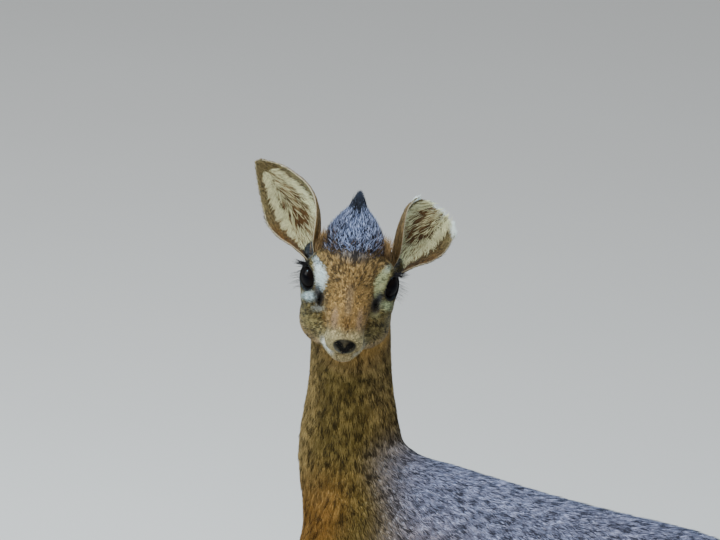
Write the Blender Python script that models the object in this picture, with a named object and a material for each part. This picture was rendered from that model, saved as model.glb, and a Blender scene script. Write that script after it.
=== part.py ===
"""A standing dik dik, life size, as a still model. Metres, +Z up, the animal faces -Y and its left is +X."""

import math

import bmesh
import bpy
import numpy as np
from mathutils import Matrix, Vector

GAP = 0.0003

# Driving sizes of the body, in metres. Side stations run along the animal, and its left side is +X.
HOOF_TOP = 0.015
FORE_X = 0.035
HIND_X = 0.037
FORE_STEP = 0.010
HIND_STEP = -0.012
EYE_MIDDLE = Vector((0.045, -0.114, 0.515))
HEAD_TURN = math.radians(119.0)
HEAD_PITCH = math.radians(11.0)
HEAD_ROLL = math.radians(3.5)
EYE_RADIUS = 0.0120
EYE_SPREAD = 0.0228
EYE_OUTWARD = math.radians(53.0)
EYE_UPWARD = 0.15
EYE_OPENING = (0.0096, 0.0081)
LID_THICK = 0.0016
JAW_ASIDE = 0.0008
SIDES = {"left": 1, "right": -1}

# The ears, along the head's axes: where each stands, where it leans, and how much of its length is left.
EAR_LENGTH = 0.0785
EAR_SINK = 0.007
EAR_ROOTS = {1: (-0.0260, 0.0303, 0.0005), -1: (-0.0250, -0.0264, 0.0043)}
EAR_LEANS = {1: (-0.313, 0.647, 0.695), -1: (-0.305, -0.617, 0.725)}
EAR_FLARE = {1: 0.26, -1: 0.0}
EAR_TORN = [  # place across and share of the length that is left there, from the outer to the inner edge
    (-1.0, 0.655),
    (-0.8, 0.678),
    (-0.6, 0.695),
    (-0.2, 0.705),
    (0.2, 0.705),
    (0.5, 0.688),
    (0.75, 0.650),
    (1.0, 0.605),
]
EAR_EDGES = [  # reach towards the crest and away from it, at even shares of the length
    (0.0070, 0.0040),
    (0.0068, 0.0058),
    (0.0181, 0.0092),
    (0.0264, 0.0141),
    (0.0305, 0.0171),
    (0.0286, 0.0157),
    (0.0229, 0.0122),
    (0.0163, 0.0076),
    (0.0046, 0.0014),
]

# The crest, along the head's axes: its middle runs from root to tip.
CREST_ROOT = (-0.011, 0.0, 0.018)
CREST_TIP = (-0.0266, 0.0, 0.0590)
CREST_OUTLINE = [  # height and radius
    (0.0180, 0.0220),
    (0.0260, 0.0216),
    (0.0330, 0.0190),
    (0.0400, 0.0132),
    (0.0460, 0.0087),
    (0.0510, 0.0045),
    (0.0545, 0.0026),
    (0.0590, 0.0005),
]
CREST_CORE = [(0.0180, 0.0190), (0.0260, 0.0184), (0.0320, 0.0148), (0.0365, 0.0095), (0.0384, 0.0040)]
CREST_RINGS = [  # number of locks, height of their roots and tips, how deep the root lies, half width
    (12, 0.0195, 0.0395, 0.0010, 0.0058),
    (10, 0.0250, 0.0455, 0.0016, 0.0060),
    (8, 0.0300, 0.0505, 0.0030, 0.0056),
    (6, 0.0335, 0.0550, 0.0060, 0.0042),
    (4, 0.0358, 0.0610, 0.0100, 0.0028),
]
LOCK_THICK = 0.0013

# Grid spacings of the body's surface, and the share of its faces that are kept.
FINE = 0.0014
COARSE = 0.0034
KEPT_FACES = 6200

COLOURS = {
    "grizzled_back": ((0.23, 0.20, 0.16, 1), 0.9),
    "tawny_coat": ((0.45, 0.28, 0.13, 1), 0.9),
    "ear_skin": ((0.34, 0.26, 0.17, 1), 0.85),
    "crest_hair": ((0.13, 0.12, 0.13, 1), 0.7),
    "eye_gloss": ((0.010, 0.007, 0.006, 1), 0.05),
    "nose_skin": ((0.015, 0.014, 0.014, 1), 0.35),
    "hoof_horn": ((0.035, 0.028, 0.024, 1), 0.4),
}


def clear_scene():
    """Removes every object of the startup scene."""
    for thing in list(bpy.data.objects):
        bpy.data.objects.remove(thing)


def material(name):
    """The named coat, horn or skin colour as a Principled material."""
    found = bpy.data.materials.get(name)
    if found:
        return found
    colour, roughness = COLOURS[name]
    made = bpy.data.materials.new(name)
    made.use_nodes = True
    shader = made.node_tree.nodes["Principled BSDF"]
    shader.inputs["Base Color"].default_value = colour
    shader.inputs["Roughness"].default_value = roughness
    shader.inputs["Metallic"].default_value = 0.0
    return made


def mesh_object(name, points, faces, finish):
    """A smooth object from points and faces."""
    mesh = bpy.data.meshes.new(name)
    mesh.from_pydata([tuple(p) for p in points], [], [tuple(f) for f in faces])
    mesh.update()
    made = bpy.data.objects.new(name, mesh)
    bpy.context.scene.collection.objects.link(made)
    mesh.materials.append(material(finish))
    return made


# The head's own axes: forward to the nose, to its left, and up.
def head_axes():
    """Forward, left and up of the turned head, in the animal's frame."""
    level = Vector((math.sin(HEAD_TURN), -math.cos(HEAD_TURN), 0.0))
    left = Vector((math.cos(HEAD_TURN), math.sin(HEAD_TURN), 0.0))
    rise = Vector((0.0, 0.0, 1.0))
    forward = level * math.cos(HEAD_PITCH) - rise * math.sin(HEAD_PITCH)
    up = rise * math.cos(HEAD_PITCH) + level * math.sin(HEAD_PITCH)
    tilted_up = up * math.cos(HEAD_ROLL) + left * math.sin(HEAD_ROLL)
    tilted_left = left * math.cos(HEAD_ROLL) - up * math.sin(HEAD_ROLL)
    return forward, tilted_left, tilted_up


FORWARD, LEFT, UP = head_axes()


def head_point(ahead, left, up):
    """A place given along the head's axes, in the animal's frame."""
    return EYE_MIDDLE + FORWARD * ahead + LEFT * left + UP * up


def head_way(ahead, left, up):
    """A direction given along the head's axes, in the animal's frame."""
    return (FORWARD * ahead + LEFT * left + UP * up).normalized()


# The body's surface is where a field of blended shapes is zero. Each shape gives distances at many points.
def smooth_union(one, two, blend):
    """The nearer of two distances, rounded over where they are within blend of each other."""
    share = np.clip(0.5 + 0.5 * (two - one) / blend, 0.0, 1.0)
    return two * (1.0 - share) + one * share - blend * share * (1.0 - share)


def smooth_cut(body, hole, blend):
    """body with hole taken out of it, with a rounded edge."""
    return -smooth_union(-body, hole, blend)


def ellipsoid(points, centre, radii):
    """Distance to an upright ellipsoid, near enough close to its surface."""
    offset = points - np.array(centre, np.float32)
    scaled = offset / np.array(radii, np.float32)
    near = np.linalg.norm(scaled, axis=1) + 1e-6
    slope = np.linalg.norm(scaled / np.array(radii, np.float32), axis=1) + 1e-6
    return near * (near - 1.0) / slope


def smooth_stations(rows, count):
    """count rows along a smooth curve through the given rows, each a list of numbers."""
    rows = np.array(rows, float)
    padded = np.vstack([2 * rows[0] - rows[1], rows, 2 * rows[-1] - rows[-2]])
    places = np.linspace(0, len(rows) - 1 - 1e-9, count)
    index = places.astype(int)
    share = (places - index)[:, None]
    a, b, c, d = (padded[index + i] for i in range(4))
    return 0.5 * (
        2 * b
        + (c - a) * share
        + (2 * a - 5 * b + 4 * c - d) * share**2
        + (3 * b - a - 3 * c + d) * share**3
    )


def tube(points, rows, side, count):
    """Distance to a limb of oval section. Each row is x, y, z, half width along side, and half depth."""
    stations = smooth_stations(rows, count).astype(np.float32)
    side = np.array(side, np.float32)
    reach = stations[:, 3:].max()
    low = stations[:, :3].min(0) - reach - 0.03
    high = stations[:, :3].max(0) + reach + 0.03
    near = np.flatnonzero(((points > low) & (points < high)).all(axis=1))
    found = np.full(len(points), 1.0, np.float32)
    here = points[near]
    best = np.full(len(near), 1.0, np.float32)
    for start, end in zip(stations[:-1], stations[1:]):
        along = end[:3] - start[:3]
        length = float(along @ along)
        share = np.clip(((here - start[:3]) @ along) / length, 0.0, 1.0)
        offset = here - start[:3] - share[:, None] * along
        tangent = along / math.sqrt(length)
        across = side - (side @ tangent) * tangent
        across /= np.linalg.norm(across)
        depth = np.cross(tangent, across)
        wide = start[3] + share * (end[3] - start[3])
        deep = start[4] + share * (end[4] - start[4])
        cap = 0.5 * np.minimum(wide, deep) + 0.004
        parts = (
            (offset @ across, wide),
            (offset @ depth, deep),
            (offset @ tangent, cap),
        )
        near_sum = sum((value / size) ** 2 for value, size in parts)
        slope_sum = sum((value / size**2) ** 2 for value, size in parts)
        size = np.sqrt(near_sum) + 1e-6
        best = np.minimum(best, (size - 1.0) * size / (np.sqrt(slope_sum) + 1e-6))
    found[near] = best
    return found


TRUNK = [  # station along the body, back line, belly line, half width
    (-0.131, 0.343, 0.270, 0.022),
    (-0.125, 0.366, 0.236, 0.038),
    (-0.102, 0.380, 0.213, 0.046),
    (-0.065, 0.3820, 0.206, 0.053),
    (-0.020, 0.3786, 0.210, 0.058),
    (0.030, 0.3748, 0.220, 0.061),
    (0.080, 0.3733, 0.235, 0.057),
    (0.125, 0.3728, 0.252, 0.054),
    (0.160, 0.3706, 0.266, 0.050),
    (0.190, 0.3595, 0.282, 0.041),
    (0.210, 0.3430, 0.297, 0.028),
]
NECK = [  # x, y, z, half width, half depth
    (0.000, -0.100, 0.300, 0.038, 0.049),
    (0.000, -0.1160, 0.335, 0.035, 0.044),
    (0.0005, -0.1280, 0.370, 0.031, 0.0402),
    (0.0005, -0.1292, 0.400, 0.0287, 0.0375),
    (0.0028, -0.1300, 0.430, 0.0272, 0.0325),
    (0.0058, -0.1303, 0.460, 0.0266, 0.0309),
    (0.0112, -0.1280, 0.490, 0.0261, 0.0292),
    (0.019, -0.1260, 0.512, 0.0230, 0.0250),
]
TAIL = [
    (0.0, 0.196, 0.346, 0.0130, 0.0120),
    (0.0, 0.214, 0.336, 0.0110, 0.0090),
    (0.0, 0.226, 0.318, 0.0095, 0.0070),
    (0.0, 0.232, 0.300, 0.0070, 0.0052),
    (0.0, 0.235, 0.286, 0.0035, 0.0030),
]
FORE_LEG = [  # outwards, along, height, half width, half depth
    (-0.006, -0.100, 0.335, 0.016, 0.028),
    (-0.001, -0.112, 0.288, 0.021, 0.032),
    (0.001, -0.110, 0.246, 0.0185, 0.0290),
    (0.001, -0.105, 0.208, 0.0130, 0.0185),
    (0.0005, -0.1065, 0.172, 0.0093, 0.0115),
    (0.0, -0.1085, 0.145, 0.0088, 0.0098),
    (0.0, -0.1080, 0.126, 0.0066, 0.0078),
    (0.0, -0.1075, 0.092, 0.0056, 0.0066),
    (0.0, -0.1075, 0.063, 0.0060, 0.0070),
    (0.0, -0.1080, 0.048, 0.0076, 0.0088),
    (0.0, -0.1135, 0.033, 0.0068, 0.0074),
    (0.0, -0.1185, 0.018, 0.0078, 0.0086),
    (0.0, -0.1200, 0.008, 0.0078, 0.0086),
]
HIND_LEG = [
    (-0.006, 0.155, 0.335, 0.022, 0.040),
    (0.002, 0.145, 0.300, 0.025, 0.048),
    (0.005, 0.130, 0.266, 0.0215, 0.043),
    (0.005, 0.133, 0.234, 0.0165, 0.0300),
    (0.003, 0.156, 0.206, 0.0120, 0.0180),
    (0.001, 0.180, 0.184, 0.0086, 0.0115),
    (0.0, 0.193, 0.168, 0.0086, 0.0118),
    (0.0, 0.192, 0.149, 0.0068, 0.0092),
    (0.0, 0.185, 0.106, 0.0058, 0.0070),
    (0.0, 0.179, 0.069, 0.0060, 0.0072),
    (0.0, 0.176, 0.050, 0.0076, 0.0088),
    (0.0, 0.169, 0.034, 0.0068, 0.0074),
    (0.0, 0.163, 0.018, 0.0078, 0.0086),
    (0.0, 0.1615, 0.008, 0.0078, 0.0086),
]


def leg_rows(rows, base_x, side, step):
    """A leg's stations on the left (side 1) or right (side -1), moved along by step towards the foot."""
    top = rows[0][2]
    return [
        (side * (base_x + out), y + step * (top - z) / top, z, wide, deep)
        for out, y, z, wide, deep in rows
    ]


LEGS = {
    "foreleg_left": leg_rows(FORE_LEG, FORE_X, 1, -FORE_STEP),
    "foreleg_right": leg_rows(FORE_LEG, FORE_X, -1, FORE_STEP),
    "hindleg_left": leg_rows(HIND_LEG, HIND_X, 1, -HIND_STEP),
    "hindleg_right": leg_rows(HIND_LEG, HIND_X, -1, HIND_STEP),
}


def body_field(points):
    """Distance to the trunk, neck, tail and legs."""
    trunk_rows = [
        (0.0, y, (top + low) / 2, half, (top - low) / 2) for y, top, low, half in TRUNK
    ]
    field = tube(points, trunk_rows, (1, 0, 0), 26)
    field = smooth_union(field, tube(points, NECK, (1, 0, 0), 18), 0.028)
    for name, rows in LEGS.items():
        blend = 0.012 if name.startswith("fore") else 0.016
        field = smooth_union(field, tube(points, rows, (1, 0, 0), 34), blend)
    return smooth_union(field, tube(points, TAIL, (1, 0, 0), 10), 0.008)


MUZZLE = [  # ahead, left, up, half width, half depth
    (0.004, 0.0, 0.001, 0.0205, 0.0200),
    (0.020, 0.0, -0.006, 0.0180, 0.0175),
    (0.036, 0.0, -0.0125, 0.0148, 0.0150),
    (0.048, 0.0, -0.0180, 0.0125, 0.0135),
    (0.0545, 0.0, -0.0210, 0.0105, 0.0115),
]
JAW = [
    (-0.022, 0.0, -0.0280, 0.0240, 0.0150),
    (0.002, 0.0, -0.0310, 0.0228, 0.0130),
    (0.022, 0.0, -0.0335, 0.0188, 0.0098),
    (0.038, 0.0, -0.0352, 0.0140, 0.0070),
    (0.047, 0.0, -0.0355, 0.0090, 0.0055),
]


def eye_centre(side):
    """The middle of the left (1) or right (-1) eyeball along the head's axes."""
    return np.array((0.0, side * EYE_SPREAD, 0.0), np.float32)


def eye_frame(side):
    """The eye's outward axis, its long axis across the lids, and its short axis, along the head's axes."""
    out = np.array((math.cos(EYE_OUTWARD), side * math.sin(EYE_OUTWARD), EYE_UPWARD))
    out /= np.linalg.norm(out)
    long = np.array((math.sin(EYE_OUTWARD), -side * math.cos(EYE_OUTWARD), -0.38))
    long -= out * (long @ out)
    long /= np.linalg.norm(long)
    return out, long, np.cross(out, long)


def eye_opening(local, side):
    """Distance to the cone between the lids, which widens outwards from the eye's middle."""
    out, long, short = (v.astype(np.float32) for v in eye_frame(side))
    offset = local - eye_centre(side)
    depth = offset @ out
    reach = np.maximum(depth, 0.001) / EYE_RADIUS
    wide = (offset @ long) / (EYE_OPENING[0] * reach)
    high = (offset @ short) / (EYE_OPENING[1] * reach)
    inside = (np.sqrt(wide**2 + high**2) - 1.0) * EYE_OPENING[1] * np.minimum(reach, 1.3)
    return np.maximum(inside, 0.0035 - depth)


def head_field(local):
    """Distance to the head, at points along the head's axes."""
    field = ellipsoid(local, (-0.0185, 0, 0.0025), (0.0285, 0.0245, 0.0235))
    forehead = ellipsoid(local, (-0.003, 0, 0.0065), (0.0220, 0.0205, 0.0160))
    field = smooth_union(field, forehead, 0.010)
    muzzle = tube(local, MUZZLE, (0, 1, 0), 12)
    field = smooth_union(field, muzzle, 0.016)
    field = smooth_union(field, tube(local, JAW, (0, 1, 0), 12), 0.011)
    for side in (1, -1):
        cheek = ellipsoid(local, (-0.007, side * 0.0175 + JAW_ASIDE, -0.020), (0.0235, 0.0120, 0.0180))
        field = smooth_union(field, cheek, 0.015)
        cheekbone = ellipsoid(local, (0.004, side * 0.0230, -0.0130), (0.0150, 0.0095, 0.0095))
        field = smooth_union(field, cheekbone, 0.010)
        lip = ellipsoid(local, (0.046, side * 0.0072, -0.0245), (0.0125, 0.0065, 0.0065))
        field = smooth_union(field, lip, 0.006)
        brow = ellipsoid(local, (-0.002, side * 0.0195, 0.0045), (0.0165, 0.0105, 0.0130))
        field = smooth_union(field, brow, 0.009)
        throat = ellipsoid(local, (-0.006, side * 0.0130 + JAW_ASIDE, -0.037), (0.0240, 0.0170, 0.0125))
        field = smooth_union(field, throat, 0.014)
    nose = ellipsoid(local, (0.0540, 0, -0.0190), (0.0095, 0.0100, 0.0085))
    field = smooth_union(field, nose, 0.007)
    for side in (1, -1):
        ball = np.linalg.norm(local - eye_centre(side), axis=1)
        field = smooth_union(field, ball - EYE_RADIUS - LID_THICK, 0.006)
        field = smooth_cut(field, eye_opening(local, side), 0.0012)
        gland = ellipsoid(local, (0.0205, side * 0.0195, -0.0085), (0.0034, 0.0022, 0.0040))
        field = smooth_cut(field, gland, 0.004)
    line = -0.0292 - 0.10 * (local[:, 0] - 0.047)
    ends = np.clip((local[:, 0] - 0.033) / 0.005, 0.0, 1.0)
    field = field + 0.0021 * ends * np.exp(-(((local[:, 2] - line) / 0.0016) ** 2))
    for side in (1, -1):
        field = smooth_union(field, tube(local, ear_root_rows(side), (0, side, 0), 6), 0.008)
    peak = [(*CREST_ROOT, 0.0160, 0.0170), (-0.0140, 0.0, 0.0260, 0.0105, 0.0115)]
    return smooth_union(field, tube(local, peak, (0, 1, 0), 6), 0.008)


def ear_root_rows(side):
    """The short fleshy root that each ear stands on, behind its cup, along the head's axes."""
    lean = np.array(EAR_LEANS[side])
    root = np.array(EAR_ROOTS[side]) + np.array((-0.0035, -side * 0.0015, 0.0))
    low = root - lean * 0.010
    high = root + lean * 0.001
    return [(*low, 0.0105, 0.0105), (*root, 0.0085, 0.0085), (*high, 0.0068, 0.0068)]


def whole_field(points):
    """Distance to the whole body, in the animal's frame."""
    axes = np.array([FORWARD, LEFT, UP], np.float32)
    field = body_field(points)
    local = (points - np.array(EYE_MIDDLE, np.float32)) @ axes.T
    near = np.flatnonzero(np.linalg.norm(local - (0.005, 0, -0.005), axis=1) < 0.10)
    head = head_field(local[near].astype(np.float32))
    field[near] = smooth_union(field[near], head, 0.009)
    return field


def spaced(low, high, fine_low, fine_high):
    """Grid lines from low to high, close together between fine_low and fine_high."""
    before = np.linspace(low, fine_low, max(2, round((fine_low - low) / COARSE)))
    within = np.linspace(fine_low, fine_high, round((fine_high - fine_low) / FINE))
    after = np.linspace(fine_high, high, max(2, round((high - fine_high) / COARSE)))
    return np.concatenate([before[:-1], within, after[1:]]).astype(np.float32)


def grid_lines():
    """The lines of the grid along each axis, fine round the head."""
    middle = np.array(head_point(0.004, 0, -0.004))
    low = middle - (0.062, 0.056, 0.056)
    high = middle + (0.060, 0.060, 0.060)
    return (
        spaced(-0.085, 0.125, low[0], high[0]),
        spaced(-0.205, 0.250, low[1], high[1]),
        spaced(-0.004, 0.590, low[2], high[2]),
    )


CORNERS = np.array([(i, j, k) for i in (0, 1) for j in (0, 1) for k in (0, 1)])
EDGES = [(a, b) for step in (4, 2, 1) for a in range(8) for b in (a + step,) if not a & step]


def field_on_grid(lines):
    """The field at every crossing of the grid, exact near the surface and rough far from it."""
    shape = tuple(len(line) for line in lines)
    skip = 4
    rough_index = [np.unique(np.append(np.arange(0, n, skip), n - 1)) for n in shape]
    rough_lines = [line[index] for line, index in zip(lines, rough_index)]
    rough_points = np.stack(np.meshgrid(*rough_lines, indexing="ij"), axis=-1)
    rough = whole_field(rough_points.reshape(-1, 3)).reshape(rough_points.shape[:3])
    nearest = [
        np.minimum(np.searchsorted(index, np.arange(n)), len(index) - 1)
        for n, index in zip(shape, rough_index)
    ]
    field = rough[np.ix_(*nearest)].copy()
    close = np.flatnonzero(np.abs(field).ravel() < COARSE * skip * 1.9)
    where = np.unravel_index(close, shape)
    points = np.stack([line[index] for line, index in zip(lines, where)], axis=1)
    field.ravel()[close] = whole_field(points.astype(np.float32))
    return field


def without_pinches(field):
    """Fills grid squares whose corners are in and out by turns, where the surface would touch itself."""
    field = field.copy()
    for _ in range(6):
        found = 0
        for axis in range(3):
            grid = np.moveaxis(field, axis, 0)
            corners = [grid[:, :-1, :-1], grid[:, 1:, :-1], grid[:, 1:, 1:], grid[:, :-1, 1:]]
            inner = [corner < 0 for corner in corners]
            crossed = (inner[0] == inner[2]) & (inner[1] == inner[3]) & (inner[0] != inner[1])
            found += int(crossed.sum())
            for corner, within in zip(corners, inner):
                corner[crossed & ~within] = -0.00005
        if not found:
            break
    return field


def surface_of(field, lines):
    """Points and four-sided faces of the surface where the field is zero: one point in each crossed cell."""
    shape = np.array(field.shape) - 1
    inside = field < 0
    corner_sets = [
        inside[i : i + shape[0], j : j + shape[1], k : k + shape[2]] for i, j, k in CORNERS
    ]
    count = sum(c.astype(np.int8) for c in corner_sets)
    cells = np.argwhere((count > 0) & (count < 8))
    values = [field[tuple((cells + c).T)] for c in CORNERS]
    places = [
        np.stack([line[(cells + c)[:, a]] for a, line in enumerate(lines)], axis=1)
        for c in CORNERS
    ]
    total = np.zeros((len(cells), 3))
    crossings = np.zeros(len(cells))
    for a, b in EDGES:
        crossed = (values[a] < 0) != (values[b] < 0)
        share = (values[a] / np.where(crossed, values[a] - values[b], 1.0))[:, None]
        spot = places[a] * (1 - share) + places[b] * share
        total += np.where(crossed[:, None], spot, 0.0)
        crossings += crossed
    points = total / crossings[:, None]
    number = np.full(shape, -1)
    number[tuple(cells.T)] = np.arange(len(cells))
    faces = []
    for axis in range(3):
        one, two = [a for a in range(3) if a != axis]
        step = np.eye(3, dtype=int)
        here = np.take(inside, range(shape[axis]), axis)
        there = np.take(inside, range(1, shape[axis] + 1), axis)
        start = np.argwhere(here != there)
        whole = (start[:, one] > 0) & (start[:, two] > 0)
        whole &= (start[:, one] < shape[one]) & (start[:, two] < shape[two])
        start = start[whole]
        ring = [start - step[one] - step[two], start - step[two], start, start - step[one]]
        quads = np.stack([number[tuple(r.T)] for r in ring], axis=1)
        outward = inside[tuple(start.T)] ^ (axis == 1)
        faces.append(np.where(outward[:, None], quads, quads[:, ::-1]))
    return points, np.vstack(faces)


def evaluated_copy(thing, name, finish):
    """thing as its modifiers leave it, as a plain mesh object."""
    graph = bpy.context.evaluated_depsgraph_get()
    mesh = bpy.data.meshes.new_from_object(thing.evaluated_get(graph))
    mesh.name = name
    made = bpy.data.objects.new(name, mesh)
    bpy.context.scene.collection.objects.link(made)
    mesh.materials.clear()
    mesh.materials.append(material(finish))
    return made


def whole_body():
    """The unparted body as one closed, thinned mesh."""
    lines = grid_lines()
    points, faces = surface_of(without_pinches(field_on_grid(lines)), lines)
    dense = mesh_object("dense_body", points, faces, "tawny_coat")
    relax = dense.modifiers.new("relax", "SMOOTH")
    relax.factor = 0.4
    relax.iterations = 2
    thin = dense.modifiers.new("thin", "DECIMATE")
    thin.ratio = KEPT_FACES / (2 * len(faces))
    bpy.context.view_layer.update()
    body = evaluated_copy(dense, "whole_body", "tawny_coat")
    bpy.data.objects.remove(dense)
    return body


# Each node of flesh is the body inside one convex cell. A cell is a large cube cut by planes, each given
# by a point and the direction that points out of the cell.
def cell(planes, shift=0.0):
    """The closed convex solid inside all the planes, each moved outwards by shift."""
    made = bmesh.new()
    bmesh.ops.create_cube(made, size=2.0)
    for place, out in planes:
        normal = Vector(out).normalized()
        where = Vector(place) + normal * shift
        every = made.verts[:] + made.edges[:] + made.faces[:]
        bmesh.ops.bisect_plane(
            made, geom=every, plane_co=where, plane_no=normal, clear_outer=True
        )
        rim = [edge for edge in made.edges if edge.is_boundary]
        bmesh.ops.edgeloop_fill(made, edges=rim)
    bmesh.ops.recalc_face_normals(made, faces=made.faces)
    mesh = bpy.data.meshes.new("cell")
    made.to_mesh(mesh)
    made.free()
    helper = bpy.data.objects.new("cell", mesh)
    bpy.context.scene.collection.objects.link(helper)
    return helper


def boolean(thing, operation, other, solver="EXACT"):
    """thing joined, cut or kept by other, applied, with other removed."""
    change = thing.modifiers.new("change", "BOOLEAN")
    change.operation = operation
    change.solver = solver
    change.object = other
    bpy.context.view_layer.update()
    graph = bpy.context.evaluated_depsgraph_get()
    mesh = bpy.data.meshes.new_from_object(thing.evaluated_get(graph))
    thing.modifiers.clear()
    old = thing.data
    thing.data = mesh
    bpy.data.meshes.remove(old)
    bpy.data.objects.remove(other)
    return thing


def largest_surface(thing):
    """Keeps only the largest closed surface of thing."""
    made = bmesh.new()
    made.from_mesh(thing.data)
    bmesh.ops.remove_doubles(made, verts=made.verts, dist=1e-6)
    unseen = set(made.faces)
    groups = []
    while unseen:
        seed = unseen.pop()
        group = [seed]
        waiting = [seed]
        while waiting:
            face = waiting.pop()
            for edge in face.edges:
                for other in edge.link_faces:
                    if other in unseen:
                        unseen.remove(other)
                        group.append(other)
                        waiting.append(other)
        groups.append(group)
    groups.sort(key=lambda group: sum(face.calc_area() for face in group))
    spare = [face for group in groups[:-1] for face in group]
    bmesh.ops.delete(made, geom=spare, context="FACES")
    bmesh.ops.triangulate(made, faces=made.faces)
    made.to_mesh(thing.data)
    made.free()
    return thing


def copy_of(thing, name, finish="tawny_coat"):
    """A separate copy of thing under another name."""
    made = thing.copy()
    made.data = thing.data.copy()
    made.name = name
    bpy.context.scene.collection.objects.link(made)
    made.data.materials.clear()
    made.data.materials.append(material(finish))
    return made


def swollen(thing, amount):
    """A copy of thing with its surface moved outwards by amount."""
    helper = copy_of(thing, "swollen")
    made = bmesh.new()
    made.from_mesh(helper.data)
    made.normal_update()
    moves = [vert.normal * amount * min(vert.calc_shell_factor(), 1.6) for vert in made.verts]
    for vert, move in zip(made.verts, moves):
        vert.co += move
    made.to_mesh(helper.data)
    made.free()
    return helper


def seated(thing, *bases):
    """Cuts thing back so that it meets each base face to face, a gap apart."""
    for base in bases:
        boolean(thing, "DIFFERENCE", swollen(base, GAP * 1.25))
    return largest_surface(thing)


def grid_faces(rows, columns, first=0):
    """Four-sided faces of a grid of points whose columns close on themselves."""
    return [
        (
            first + r * columns + c,
            first + r * columns + (c + 1) % columns,
            first + (r + 1) * columns + (c + 1) % columns,
            first + (r + 1) * columns + c,
        )
        for r in range(rows - 1)
        for c in range(columns)
    ]


def facing_out(thing):
    """Turns every face of a closed thing outwards."""
    made = bmesh.new()
    made.from_mesh(thing.data)
    bmesh.ops.remove_doubles(made, verts=made.verts, dist=1e-6)
    bmesh.ops.recalc_face_normals(made, faces=made.faces)
    if made.calc_volume(signed=True) < 0:
        bmesh.ops.reverse_faces(made, faces=made.faces)
    made.to_mesh(thing.data)
    made.free()
    return thing


EAR_CURVE = smooth_stations(EAR_EDGES, 65)


def ear_outline(share, side):
    """How far the ear reaches towards the crest and away from it, at a share of its length from the root."""
    places = np.linspace(0.0, 1.0, len(EAR_CURVE))
    flare = 1.0 + EAR_FLARE[side] * min(max((share - 0.18) / 0.34, 0.0), 1.0)
    return flare * np.interp(share, places, EAR_CURVE[:, 0]), np.interp(share, places, EAR_CURVE[:, 1])


def ear_end(across, side):
    """The share of the length at which the ear ends. The left one is torn and ends in an uneven curve."""
    if side < 0:
        return 1.0
    places, ends = zip(*EAR_TORN)
    return float(np.interp(across, places, ends)) + 0.005 * math.sin(17.0 * across)


def ear_place(share, across, side):
    """A point of the ear's middle sheet as (inwards, along, towards the face), its normal and the thickness.

    Across the ear the sheet is an arc, almost closed at the root and open towards the tip.
    """
    inner, outer = ear_outline(share, side)
    half = inner if across > 0 else outer
    curl = math.radians(118.0) * (1.0 - share) ** 1.5 + math.radians(34.0)
    angle = across * curl
    radius = half / max(math.sin(min(curl, math.pi / 2)), 0.35)
    inwards = radius * math.sin(angle)
    towards = radius * (1.0 - math.cos(angle)) - 0.0095 * math.sin(math.pi * share)
    along = -EAR_SINK + (EAR_LENGTH + EAR_SINK) * share
    normal = Vector((-math.sin(angle), 0.0, math.cos(angle)))
    thick = 0.0026 - 0.0012 * max(share, abs(across) ** 3)
    return (inwards, along, towards), normal, thick


def ear_shell(name, side):
    """The ear as a thin cupped shell. side is 1 for the left ear, which is torn."""
    rows, columns = 13, 11
    root = head_point(*EAR_ROOTS[side])
    length_way = head_way(*EAR_LEANS[side])
    face_way = head_way(0.80, side * 0.30, 0.10)
    face_way = (face_way - length_way * face_way.dot(length_way)).normalized()
    inner_way = length_way.cross(face_way).normalized()
    if inner_way.dot(LEFT) * side > 0:
        inner_way = -inner_way
    front, back = [], []
    for r in range(rows):
        for c in range(columns):
            across = -1.0 + 2.0 * c / (columns - 1)
            share = r / (rows - 1) * ear_end(across, side)
            place, normal, thick = ear_place(share, across, side)
            spot = root + inner_way * place[0] + length_way * place[1] + face_way * place[2]
            push = inner_way * normal[0] + length_way * normal[1] + face_way * normal[2]
            front.append(spot + push * thick / 2)
            back.append(spot - push * thick / 2)
    count = rows * columns
    faces = []
    for r in range(rows - 1):
        for c in range(columns - 1):
            a = r * columns + c
            b, d, e = a + 1, a + columns, a + columns + 1
            faces += [(a, b, e), (a, e, d)]
            faces += [(count + e, count + b, count + a), (count + d, count + e, count + a)]
    rim = list(range(columns))
    rim += [r * columns + columns - 1 for r in range(1, rows)]
    rim += [(rows - 1) * columns + c for c in range(columns - 2, -1, -1)]
    rim += [r * columns for r in range(rows - 2, 0, -1)]
    for a, b in zip(rim, rim[1:] + rim[:1]):
        faces += [(a, b, count + b), (a, count + b, count + a)]
    return facing_out(mesh_object(name, front + back, faces, "ear_skin"))


def lock(root, lie, side, length, width, thick, bend, segments=2):
    """One flat tapered lock from root along lie, bending towards bend, as a closed mesh object."""
    lie, side = Vector(lie).normalized(), Vector(side).normalized()
    face = lie.cross(side).normalized()
    points = []
    for s in range(segments):
        share = s / segments
        middle = Vector(root) + lie * length * share + Vector(bend) * length * share**2
        half = width * (1.0 - share) ** 0.7
        deep = thick * (1.0 - 0.6 * share)
        points += [middle - side * half, middle - face * deep, middle + side * half, middle + face * deep]
    tip = Vector(root) + lie * length + Vector(bend) * length
    faces = grid_faces(segments, 4)
    last = (segments - 1) * 4
    faces += [(last + i, last + (i + 1) % 4, len(points)) for i in range(4)]
    faces.append((3, 2, 1, 0))
    points.append(tip)
    return facing_out(mesh_object("lock", points, faces, "crest_hair"))


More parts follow.
